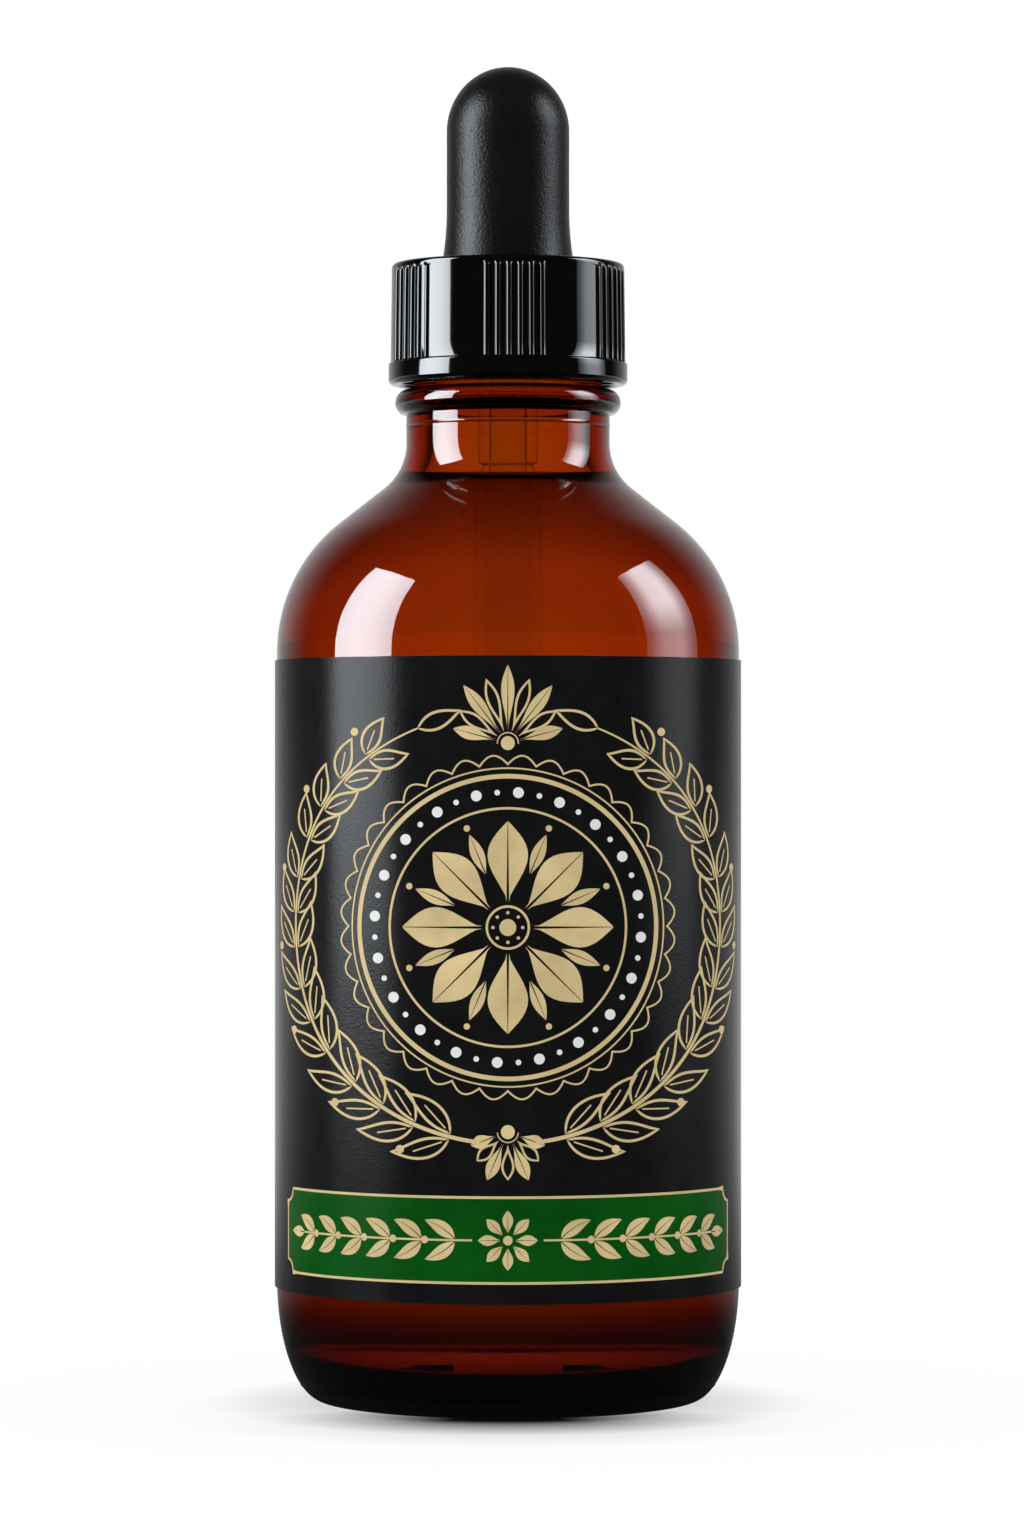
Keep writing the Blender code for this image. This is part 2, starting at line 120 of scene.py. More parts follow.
class GlassSettings(bpy.types.PropertyGroup):
    body_radius: length("Body Radius", node_radius("bottle"), "Outside radius of the glass body")
    rim_height: length("Rim Height", node_top("bottle"), "Height of the glass rim")
    wall: length("Wall", 0.0024, "Thickness of the glass wall")
    heel_height: length("Heel Height", 0.0126, "Height at which the curved heel ends")
    heel_inset: length("Heel Inset", 0.0049, "How far the heel draws in at the table")
    ring_width: length("Standing Ring", 0.0026, "Width of the ring that the bottle stands on")
    push_up: length("Push-up", 0.0016, "Depth of the hollow under the base")
    floor: length("Floor", 0.0048, "Height of the inside floor over the table")
    inner_heel: length("Inner Heel", 0.0070, "Radius between the inside floor and the wall")
    shoulder_height: length("Shoulder Height", 0.0776, "Height at which the shoulder starts")
    shoulder_radius: length("Shoulder Radius", 0.0170, "Radius of the rounded shoulder")
    cone_angle: angle("Cone Angle", 52.0, "Slope of the cone above the shoulder, from upright")
    neck_radius: length("Neck Radius", 0.01057, "Outside radius of the neck")
    neck_fillet: length("Neck Fillet", 0.0060, "Radius between the cone and the neck")
    bore_radius: length("Bore Radius", 0.0078, "Inside radius of the neck")
    bore_fillet: length("Bore Fillet", 0.0084, "Inside radius between the cone and the neck")
    bead_height: length("Bead Height", 0.0026, "Height of the bead ring under the cap")
    bead_projection: length("Bead Projection", 0.00115, "How far the bead ring stands out")
    finish_radius: length("Finish Radius", 0.00985, "Radius of the wall under the thread")
    finish_length: length("Finish Length", 0.0090, "Height of the threaded finish")
    mould_line: length("Mould Line", 0.00006, "How far the mould's parting lines stand out")
    thread_height: length("Thread Height", 0.00095, "How far the thread stands out")
    thread_width: length("Thread Width", 0.0017, "Width of the thread's foot")
    thread_pitch: length("Thread Pitch", 0.003175, "Rise of the thread in one turn")
    thread_low: length("Thread Low End", 0.10837, "Height of the lower end of the thread")
    thread_turns: FloatProperty(name="Thread Turns", description="Turns of thread", default=1.1)
    tint: color("Amber", (0.985, 0.965, 0.93, 1.0), "Tint of the glass wall at its surfaces")
    depth_tint: color("Deep Amber", (0.873, 0.605, 0.0, 1.0), "Colour that thick glass keeps")
    depth: FloatProperty(name="Depth", default=1500.0, description="Strength of the deep colour")
    stipple: share("Stipple", 0.45, "Roughness of the stippled underside")
    stipple_height: length("Stipple Height", 0.0018, "Height up to which the glass is stippled")
    facets: count("Facets", 192, "Facets round the bottle")


class LiquidSettings(bpy.types.PropertyGroup):
    level: length("Level", 0.0936, "Height of the middle of the bitters' surface")
    meniscus: length("Meniscus", 0.0017, "How far the surface climbs the glass")
    tint: color("Bitters", (0.99, 0.97, 0.93, 1.0), "Tint of the bitters at their surfaces")
    depth_tint: color("Deep Bitters", (0.85, 0.28, 0.0, 1.0), "Colour that deep bitters keep")
    depth: FloatProperty(name="Depth", default=19.0, description="Strength of the deep colour")
    overlap: length("Overlap", 0.00004, "How far the bitters reach into the glass, so that no air shows")


class LabelSettings(bpy.types.PropertyGroup):
    radius: length("Radius", node_radius("label"), "Radius of the printed face")
    low: length("Low Edge", node_foot("label"), "Height of the label's lower edge")
    high: length("High Edge", node_top("label"), "Height of the label's upper edge")
    seam: length("Seam", 0.0069, "Gap left open at the back")
    thickness: length("Paper", 0.00012, "Thickness of the paper")
    ink: length("Ink", 0.000018, "Thickness of the printed ink and foil")
    paper: color("Paper Black", (0.0058, 0.0058, 0.0062, 1.0), "Black of the paper")
    gold: color("Gold", (0.62, 0.48, 0.24, 1.0), "Gold of the printed lines")
    pale_gold: color("Pale Gold", (0.80, 0.62, 0.31, 1.0), "Lighter gold of broad fills")
    green: color("Green", (0.0022, 0.095, 0.0060, 1.0), "Green of the plaque")
    white: color("White", (0.86, 0.86, 0.85, 1.0), "White of the small print")


class CapSettings(bpy.types.PropertyGroup):
    foot: length("Foot", node_foot("cap"), "Height of the cap's foot")
    top: length("Top", node_top("cap"), "Height of the cap's top")
    skirt_top: length("Skirt Top", 0.01209, "Radius of the skirt under the top edge")
    skirt_foot: length("Skirt Foot", 0.0122, "Radius of the skirt over the flange")
    flange_radius: length("Flange Radius", 0.01242, "Radius of the flange at the foot")
    flange_height: length("Flange Height", 0.0023, "Height of the flange")
    edge_round: length("Edge Round", 0.00045, "Rounding of the top edge")
    bore: length("Bore", 0.0111, "Inside radius of the skirt")
    hole: length("Hole", 0.00717, "Radius of the hole for the bulb")
    top_wall: length("Top Wall", 0.0015, "Thickness of the cap's top")
    rib_height: length("Rib Height", 0.00026, "How far the grip ribs stand out")
    rib_width: length("Rib Width", 0.00058, "Width of one grip rib")
    rib_pitch: angle("Rib Pitch", 5.44, "Angle from one rib to the next in a group")
    group_offset: angle("Group Offset", 3.3, "Turn of the front group from the label's front")
    ribs: count("Ribs", 6, "Ribs in one group")
    groups: count("Groups", 6, "Groups of ribs round the cap")
    thread_low: length("Thread Low End", 0.10691, "Height of the lower end of the thread")
    plastic: color("Plastic", (0.0016, 0.0016, 0.0018, 1.0), "Black of the moulded plastic")


class BulbSettings(bpy.types.PropertyGroup):
    foot: length("Foot", node_foot("bulb"), "Height of the flange's underside")
    top: length("Top", node_top("bulb"), "Height of the dome's top")
    radius: length("Radius", 0.00637, "Radius of the straight part")
    dome: length("Dome", 0.0067, "Height of the dome")
    straight: length("Straight", 0.0081, "Height of the straight part")
    flare: length("Flare", 0.0005, "How far the foot of the bulb widens")
    flare_height: length("Flare Height", 0.0057, "Height over which the foot widens")
    wall: length("Wall", 0.0012, "Thickness of the rubber")
    flange_radius: length("Flange Radius", node_radius("bulb"), "Radius of the sealing flange")
    flange: length("Flange", 0.0020, "Thickness of the sealing flange")
    rubber: color("Rubber", (0.0050, 0.0050, 0.0060, 1.0), "Black of the rubber")


class PipetteSettings(bpy.types.PropertyGroup):
    top: length("Top", node_top("pipette"), "Height of the upper end")
    tip: length("Tip", node_foot("pipette"), "Height of the tip")
    barrel: length("Barrel", 0.0031, "Radius of the upper barrel")
    barrel_length: length("Barrel Length", 0.0240, "Length of the upper barrel")
    stem: length("Stem", 0.0027, "Radius of the stem")
    wall: length("Wall", 0.0009, "Thickness of the glass")
    taper: length("Taper", 0.0120, "Length of the taper")
    tip_radius: length("Tip Radius", 0.0012, "Radius of the tip")
    tip_length: length("Tip Length", 0.0030, "Length of the straight tip")
    tip_bore: length("Tip Bore", 0.0005, "Radius of the hole in the tip")
    collar: length("Collar", node_radius("pipette"), "Radius of the collar that holds it")
    tint: color("Clear Glass", (0.93, 0.95, 0.94, 1.0), "Tint of the clear glass")


class StageSettings(bpy.types.PropertyGroup):
    eye_distance: length("Eye Distance", 0.600, "Distance from the camera to the bottle's axis")
    eye_height: length("Eye Height", 0.06357, "Height of the camera")
    focal_pixels: FloatProperty(name="Focal Pixels", default=5771.0,
                                description="Focal length in pixels of a 1536 pixel high image")
    axis_pixel: FloatProperty(name="Axis Pixel", default=508.0,
                              description="Column of the image in which the bottle's axis lies")
    horizon_pixel: FloatProperty(name="Horizon Pixel", default=787.0,
                                 description="Row of the image at the camera's own height")
    left_strength: FloatProperty(name="Left Softbox", default=18.5, description="Its radiance")
    right_strength: FloatProperty(name="Right Softbox", default=13.0, description="Its radiance")
    diffuse_share: share("Diffuse Share", 0.15, "Share of the softboxes that lights matt surfaces")
    fill: share("Fill", 0.90, "Level of the studio's plain fill light")


SETTINGS = {
    "bottle_glass": GlassSettings,
    "bottle_liquid": LiquidSettings,
    "bottle_label": LabelSettings,
    "bottle_cap": CapSettings,
    "bottle_bulb": BulbSettings,
    "bottle_pipette": PipetteSettings,
    "bottle_stage": StageSettings,
}


# Shapes

def arc(center, radii, start_angle, end_angle, steps):
    """Points of an elliptical arc in the profile plane, both ends included."""
    points = []
    for index in range(steps + 1):
        turn = start_angle + (end_angle - start_angle) * index / steps
        points.append((center[0] + radii[0] * math.cos(turn),
                       center[1] + radii[1] * math.sin(turn)))
    return points


def line(start, end, steps):
    """Points from start to end, without the start."""
    points = []
    for index in range(1, steps + 1):
        part = index / steps
        points.append((start[0] + (end[0] - start[0]) * part,
                       start[1] + (end[1] - start[1]) * part))
    return points


def even_angles(facets):
    return [FULL_TURN * index / facets for index in range(facets)]


def smooth_step(value):
    value = min(1.0, max(0.0, value))
    return value * value * (3.0 - 2.0 * value)


def eased_line(start, end, steps):
    """Points from start to end, without the start, on an S-shaped curve."""
    points = []
    for index in range(1, steps + 1):
        part = index / steps
        points.append((start[0] + (end[0] - start[0]) * smooth_step(part),
                       start[1] + (end[1] - start[1]) * part))
    return points


def rounded(center, radius, start_angle, end_angle, steps):
    return arc(center, (radius, radius), start_angle, end_angle, steps)


def revolve(name, profile, angles, closed=False, lift=None):
    """Turn a profile round Z. lift(angle, across, height) adds to the radius of a point."""
    shape = bmesh.new()
    rings = []
    for across, height in profile:
        if across <= 0.0:
            rings.append([shape.verts.new((0.0, 0.0, height))])
            continue
        ring = []
        for turn in angles:
            radius = across + (lift(turn, across, height) if lift else 0.0)
            ring.append(shape.verts.new((radius * math.cos(turn), radius * math.sin(turn), height)))
        rings.append(ring)
    pairs = list(zip(rings, rings[1:]))
    if closed:
        pairs.append((rings[-1], rings[0]))
    for upper, lower in pairs:
        for index in range(len(angles)):
            after = (index + 1) % len(angles)
            if len(upper) == 1:
                corners = (upper[0], lower[index], lower[after])
            elif len(lower) == 1:
                corners = (upper[index], lower[0], upper[after])
            else:
                corners = (upper[index], lower[index], lower[after], upper[after])
            shape.faces.new(corners)
    bmesh.ops.recalc_face_normals(shape, faces=shape.faces)
    return finish_mesh(name, shape)


def finish_mesh(name, shape, sharp_angle=math.radians(35.0)):
    """Link a bmesh as an object that is smooth on the round and sharp at its edges."""
    mesh = bpy.data.meshes.new(name)
    shape.to_mesh(mesh)
    shape.free()
    mesh.shade_smooth()
    mesh.set_sharp_from_angle(angle=sharp_angle)
    piece = bpy.data.objects.new(name, mesh)
    bpy.context.scene.collection.objects.link(piece)
    return piece


def dress(piece, material, body, slot, *nodes):
    """Give a piece its material, the body it rides on and the nodes it stands for."""
    piece.data.materials.append(material)
    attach(piece, body)
    if nodes:
        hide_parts(*nodes)


def thread_lift(turn, height, low_end, glass, outward):
    """Height of a thread ridge over the wall at one place, fading out at both of its ends."""
    tallest = 0.0
    half_width = glass.thread_width / 2.0
    for lap in range(3):
        along = (turn - low_end[0]) / FULL_TURN % 1.0 + lap
        if along > glass.thread_turns:
            continue
        middle = low_end[1] + glass.thread_pitch * along
        away = abs(height - middle) / half_width
        if away < 1.0:
            ends = smooth_step(min(along, glass.thread_turns - along) / 0.09)
            tallest = max(tallest, ends * math.cos(away * QUARTER_TURN) ** 0.8)
    return outward * glass.thread_height * tallest


def shoulder_points(glass, shoulder_radius, fillet_radius, neck_radius, steps):
    """Profile from the neck down a fillet and the cone to the body, and the neck's foot height."""
    center = (glass.body_radius - glass.shoulder_radius, glass.shoulder_height)
    normal = (math.cos(glass.cone_angle), math.sin(glass.cone_angle))
    along_normal = center[0] * normal[0] + center[1] * normal[1] + shoulder_radius
    across = neck_radius + fillet_radius
    height = (along_normal + fillet_radius - across * normal[0]) / normal[1]
    fillet_end = HALF_TURN + glass.cone_angle
    points = arc((across, height), (fillet_radius, fillet_radius), HALF_TURN, fillet_end, steps)
    body_arc = arc(center, (shoulder_radius, shoulder_radius), glass.cone_angle, 0.0, steps)
    points += line(points[-1], body_arc[0], 6)[:-1]
    return points + body_arc, height


def inner_glass_points(glass):
    """Inside of the bottle, from the centre of its floor up to the top of the rim."""
    inner_radius = glass.body_radius - glass.wall
    heel_foot = glass.floor - FLOOR_CROWN
    heel_center = (inner_radius - glass.inner_heel, heel_foot + glass.inner_heel)
    rim_round = 0.0006
    rim_center = (glass.bore_radius + rim_round, glass.rim_height - rim_round)
    shoulder = shoulder_points(glass, glass.shoulder_radius - glass.wall, glass.bore_fillet,
                               glass.bore_radius, 18)[0]
    points = [(0.0, glass.floor)]
    points += line((0.0, glass.floor), (heel_center[0], heel_foot), 6)[:-1]
    points += rounded(heel_center, glass.inner_heel, -QUARTER_TURN, 0.0, 14)
    points += list(reversed(shoulder))
    points += rounded(rim_center, rim_round, HALF_TURN, QUARTER_TURN, 6)
    return points


def outer_glass_points(glass):
    """Outside of the bottle, from the top of the rim down to the centre of the base."""
    bead_top = glass.rim_height - glass.finish_length
    bead_middle = bead_top - glass.bead_height / 2.0
    rim_round = 0.0008
    root_round = 0.0005
    rim_center = (glass.finish_radius - rim_round, glass.rim_height - rim_round)
    points = rounded(rim_center, rim_round, QUARTER_TURN, 0.0, 8)
    finish_foot = (glass.finish_radius, bead_top + root_round)
    points += line(points[-1], finish_foot, 72)
    root_center = (glass.finish_radius + root_round, bead_top + root_round)
    points += rounded(root_center, root_round, HALF_TURN, HALF_TURN + QUARTER_TURN, 5)[1:]
    bead_radii = (glass.bead_projection, glass.bead_height / 2.0)
    points += arc((glass.neck_radius, bead_middle), bead_radii, QUARTER_TURN, -QUARTER_TURN, 22)[1:]
    shoulder, neck_foot = shoulder_points(glass, glass.shoulder_radius, glass.neck_fillet,
                                          glass.neck_radius, 26)
    bead_foot = bead_top - glass.bead_height
    points += line((glass.neck_radius, bead_foot), (glass.neck_radius, neck_foot), 18)[:-1]
    points += shoulder
    heel_center = (glass.body_radius - glass.heel_inset, glass.heel_height)
    heel_radii = (glass.heel_inset, glass.heel_height)
    points += arc(heel_center, heel_radii, 0.0, -QUARTER_TURN, 36)
    ring_inside = glass.body_radius - glass.heel_inset - glass.ring_width
    points += arc((0.0, 0.0), (ring_inside, glass.push_up), 0.0, QUARTER_TURN, 12)[:-1]
    points.append((0.0, glass.push_up))
    return points


def make_glass(glass):
    """The amber bottle, with its thread and the faint lines that its mould leaves."""
    line_under_bead = 0.0011
    thread_over_bead = 0.0006
    inside_reach = 0.0004
    start = (0.0, glass.thread_low)
    bead_foot = glass.rim_height - glass.finish_length - glass.bead_height
    neck_line = bead_foot - line_under_bead
    heel_line = 0.0016
    finish_low = glass.rim_height - glass.finish_length + thread_over_bead

    def lift(turn, across, height):
        if across < glass.finish_radius - inside_reach:
            return 0.0
        if height > finish_low:
            return thread_lift(turn, height, start, glass, 1.0)
        raised = 0.0
        for middle in (neck_line, heel_line):
            away = abs(height - middle) / MOULD_LINE_HALF
            raised = max(raised, 1.0 - away)
        return glass.mould_line * raised

    outer = outer_glass_points(glass)
    for middle in (neck_line, heel_line):
        outer = with_line_rows(outer, middle)
    profile = inner_glass_points(glass) + outer
    piece = revolve("glass_bottle", profile, even_angles(glass.facets), lift=lift)
    dress(piece, amber_glass(glass), "bottle", "amber_glass", "bottle")


def with_line_rows(points, middle):
    """Add the three rows that a fine raised line needs to a profile that runs downwards."""
    rows = []
    for upper, lower in zip(points, points[1:]):
        rows.append(upper)
        for offset in (MOULD_LINE_HALF, 0.0, -MOULD_LINE_HALF):
            height = middle + offset
            if upper[1] > height > lower[1] and upper[0] > 0.0:
                part = (upper[1] - height) / (upper[1] - lower[1])
                rows.append((upper[0] + (lower[0] - upper[0]) * part, height))
    rows.append(points[-1])
    return rows


def make_liquid(liquid, glass):
    """The bitters as one closed body, with a surface that sags between the walls of the neck.

    It reaches a little into the glass, because a gap of air there would mirror light back.
    """
    heel_top = glass.floor + glass.inner_heel
    brim = liquid.level + liquid.meniscus
    points = []
    for across, height in inner_glass_points(glass):
        if height >= brim:
            break
        sunk = liquid.overlap if height < heel_top else 0.0
        points.append((across + liquid.overlap if across > 0.0 else 0.0, height - sunk))
    wall = points[-1][0]
    rows = 18
    for index in range(1, rows + 1):
        part = 1.0 - index / rows
        points.append((wall * part, liquid.level + liquid.meniscus * part ** 2.4))
    points[-1] = (0.0, liquid.level)
    piece = revolve("bitters_inside", points, even_angles(128))
    dress(piece, bitters(liquid), "bottle", "amber_glass")


def make_pipette(pipette, liquid):
    """The clear pipette, with its collar, the step under its barrel and its drawn tip.

    The thin glass bends light little, and less under the bitters. Only the melted step under the
    barrel bends it fully, so that it shows as fine dark lines.
    """
    lip = 0.0002
    edge = 0.0003
    collar_half = 0.0010
    barrel_round = 0.00025
    step = 0.0004
    step_radii = (0.00012, 0.00015)
    step_band = 0.0007
    in_air, in_bitters, at_step = 1.18, 1.05, 1.5
    taper_foot = pipette.tip + pipette.tip_length
    taper_top = taper_foot + pipette.taper
    bore = pipette.stem - pipette.wall
    barrel_foot = pipette.top - pipette.barrel_length
    collar_center = (pipette.barrel, pipette.top - COLLAR_DEPTH)
    collar_radii = (pipette.collar - pipette.barrel, collar_half)
    points = [(bore, pipette.top - lip), (bore + lip, pipette.top)]
    points += rounded((pipette.barrel - edge, pipette.top - edge), edge, QUARTER_TURN, 0.0, 5)
    points += arc(collar_center, collar_radii, QUARTER_TURN, -QUARTER_TURN, 12)
    points += line((pipette.barrel, collar_center[1] - collar_half),
                   (pipette.barrel, barrel_foot), 4)
    points += rounded((pipette.barrel - barrel_round, barrel_foot), barrel_round, 0.0,
                      -QUARTER_TURN, 4)[1:]
    points += arc((pipette.stem + step_radii[0], barrel_foot - step), step_radii,
                  QUARTER_TURN, HALF_TURN, 3)
    points += line((pipette.stem, barrel_foot - step), (pipette.stem, taper_top), 24)
    points += eased_line((pipette.stem, taper_top), (pipette.tip_radius, taper_foot), 12)
    points += rounded((pipette.tip_radius - edge, pipette.tip + edge), edge, 0.0,
                      -QUARTER_TURN, 4)
    points += [(pipette.tip_bore, pipette.tip), (pipette.tip_bore, taper_foot)]
    points += eased_line((pipette.tip_bore, taper_foot), (bore, taper_top), 12)
    points += line((bore, taper_top), (bore, pipette.top - lip), 16)[:-1]
    piece = revolve("glass_pipette", points, even_angles(96), closed=True)
    dress(piece, clear_glass(pipette, "clear_glass", in_air), "dropper", "clear_glass", "pipette")
    piece.data.materials.append(clear_glass(pipette, "wet_clear_glass", in_bitters))
    piece.data.materials.append(clear_glass(pipette, "step_clear_glass", at_step))
    for face in piece.data.polygons:
        outside = math.hypot(face.center.x, face.center.y) > pipette.stem - pipette.wall / 2.0
        if face.center.z < liquid.level:
            face.material_index = 1
        elif outside and barrel_foot - step_band < face.center.z < barrel_foot:
            face.material_index = 2


def rib_angles(cap):
    """Angles round the cap, close together on every rib and wide apart on the smooth panels."""
    half_rib = cap.rib_width / cap.skirt_top / 2.0
    first = FRONT_ANGLE + cap.group_offset - cap.rib_pitch * (cap.ribs - 1) / 2.0
    middles = []
    angles = []
    for group in range(cap.groups):
        for rib in range(cap.ribs):
            middle = first + FULL_TURN * group / cap.groups + cap.rib_pitch * rib
            middles.append(middle)
            for step in range(-5, 6):
                angles.append(middle + half_rib * 1.1 * step / 5.0)
            if rib < cap.ribs - 1:
                angles.append(middle + cap.rib_pitch / 2.0)
        last = middles[-1]
        span = FULL_TURN / cap.groups - cap.rib_pitch * (cap.ribs - 1)
        for step in range(1, 10):
            angles.append(last + span * step / 10.0)
    return angles, middles


def make_cap(cap, glass):
    """The ribbed cap, with its foot flange, its hole for the bulb and its inner thread."""
    angles, middles = rib_angles(cap)
    half_rib = cap.rib_width / 2.0
    rib_low = cap.foot + cap.flange_height
    rib_high = cap.top - cap.edge_round * 1.1
    pitch_turns = (cap.thread_low - glass.thread_low) / glass.thread_pitch + 0.5
    start = (FULL_TURN * pitch_turns, cap.thread_low)
    ceiling = cap.top - cap.top_wall

    def lift(turn, across, height):
        if across < cap.bore + 0.00005:
            if across > cap.bore - 0.00005 and height < ceiling - 0.0004:
                return thread_lift(turn, height, start, glass, -1.0)
            return 0.0
        if not rib_low - 0.00001 <= height <= rib_high + 0.00001:
            return 0.0
        away = min(abs((turn - middle + HALF_TURN) % FULL_TURN - HALF_TURN) for middle in middles)
        away = away * across / half_rib
        if away >= 1.0:
            return 0.0
        top_fade = smooth_step((rib_high - height) / 0.0006)
        return cap.rib_height * math.sqrt(1.0 - away * away) * top_fade

    edge = (cap.skirt_top - cap.edge_round, cap.top - cap.edge_round)
    flange_top = cap.foot + cap.flange_height
    foot_round = 0.0006
    points = [(cap.hole, ceiling + 0.0002)]
    points += line(points[0], (cap.hole, cap.top - 0.0002), 2)
    points += arc((cap.hole + 0.0002, cap.top - 0.0002), (0.0002, 0.0002), HALF_TURN,
                  QUARTER_TURN, 4)[1:]
    points += line((cap.hole + 0.0002, cap.top), (edge[0], cap.top), 4)[:-1]
    points += arc(edge, (cap.edge_round, cap.edge_round), QUARTER_TURN, 0.0, 8)
    skirt_head = points[-1]
    fade_foot = (cap.skirt_top, rib_high - 0.0006)
    points += line(skirt_head, fade_foot, 6)
    points += line(fade_foot, (cap.skirt_foot, flange_top + 0.0001), 6)
    points.append((cap.skirt_foot + 0.00004, flange_top + 0.00003))
    points += arc((cap.flange_radius - 0.0002, flange_top - 0.0002), (0.0002, 0.0002),
                  QUARTER_TURN, 0.0, 4)
    points += arc((cap.flange_radius - foot_round, cap.foot + foot_round),
                  (foot_round, foot_round), 0.0, -QUARTER_TURN, 8)
    points.append((cap.bore + 0.0004, cap.foot))
    points += arc((cap.bore + 0.0004, cap.foot + 0.0004), (0.0004, 0.0004), -QUARTER_TURN,
                  -HALF_TURN, 4)[1:]
    points += line((cap.bore, cap.foot + 0.0004), (cap.bore, ceiling - 0.0004), 64)
    points += arc((cap.bore - 0.0004, ceiling - 0.0004), (0.0004, 0.0004), 0.0, QUARTER_TURN, 4)[1:]
    points.append((cap.hole + 0.0002, ceiling))
    piece = revolve("screw_cap", points, angles, closed=True, lift=lift)
    dress(piece, cap_plastic(cap), "cap", "cap_plastic", "cap")


def make_bulb(bulb, cap, pipette):
    """The rubber bulb, hollow, with its sealing flange hidden under the cap."""
    waist = bulb.radius + bulb.flare
    cap_top = cap.top
    straight_foot = cap_top + bulb.flare_height
    dome_foot = straight_foot + bulb.straight
    cavity = bulb.radius - bulb.wall
    throat = pipette.barrel + 0.0003
    groove = pipette.collar + 0.0003
    throat_top = bulb.foot + 0.0063
    groove_middle = pipette.top - COLLAR_DEPTH
    points = arc((0.0, dome_foot), (cavity, bulb.dome - bulb.wall), QUARTER_TURN, 0.0, 14)
    points[0] = (0.0, points[0][1])
    points += line((cavity, dome_foot), (cavity, throat_top + 0.0022), 8)
    points += line((cavity, throat_top + 0.0022), (throat, throat_top), 4)
    points += arc((throat, groove_middle), (groove - throat, 0.0013), QUARTER_TURN, -QUARTER_TURN, 8)
    points += line((throat, groove_middle - 0.0013), (throat, bulb.foot), 3)
    points += arc((bulb.flange_radius - 0.0003, bulb.foot + 0.0003), (0.0003, 0.0003),
                  -QUARTER_TURN, 0.0, 4)
    flange_top = bulb.foot + bulb.flange
    points += arc((bulb.flange_radius - 0.0003, flange_top - 0.0003), (0.0003, 0.0003),
                  0.0, QUARTER_TURN, 4)
    points.append((waist, flange_top))
    points += line((waist, flange_top), (waist, cap_top), 4)
    for index in range(1, 15):
        part = index / 14.0
        points.append((bulb.radius + bulb.flare * (1.0 - part) ** 2,
                       cap_top + bulb.flare_height * part))
    points += line((bulb.radius, straight_foot), (bulb.radius, dome_foot), 14)
    points += arc((0.0, dome_foot), (bulb.radius, bulb.top - dome_foot), 0.0, QUARTER_TURN, 30)[1:]
    points[-1] = (0.0, points[-1][1])
    piece = revolve("rubber_bulb", points, even_angles(128))
    piece.data.materials.append(bulb_rubber(bulb))
    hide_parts("bulb")
    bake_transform(piece)


# The label and its print

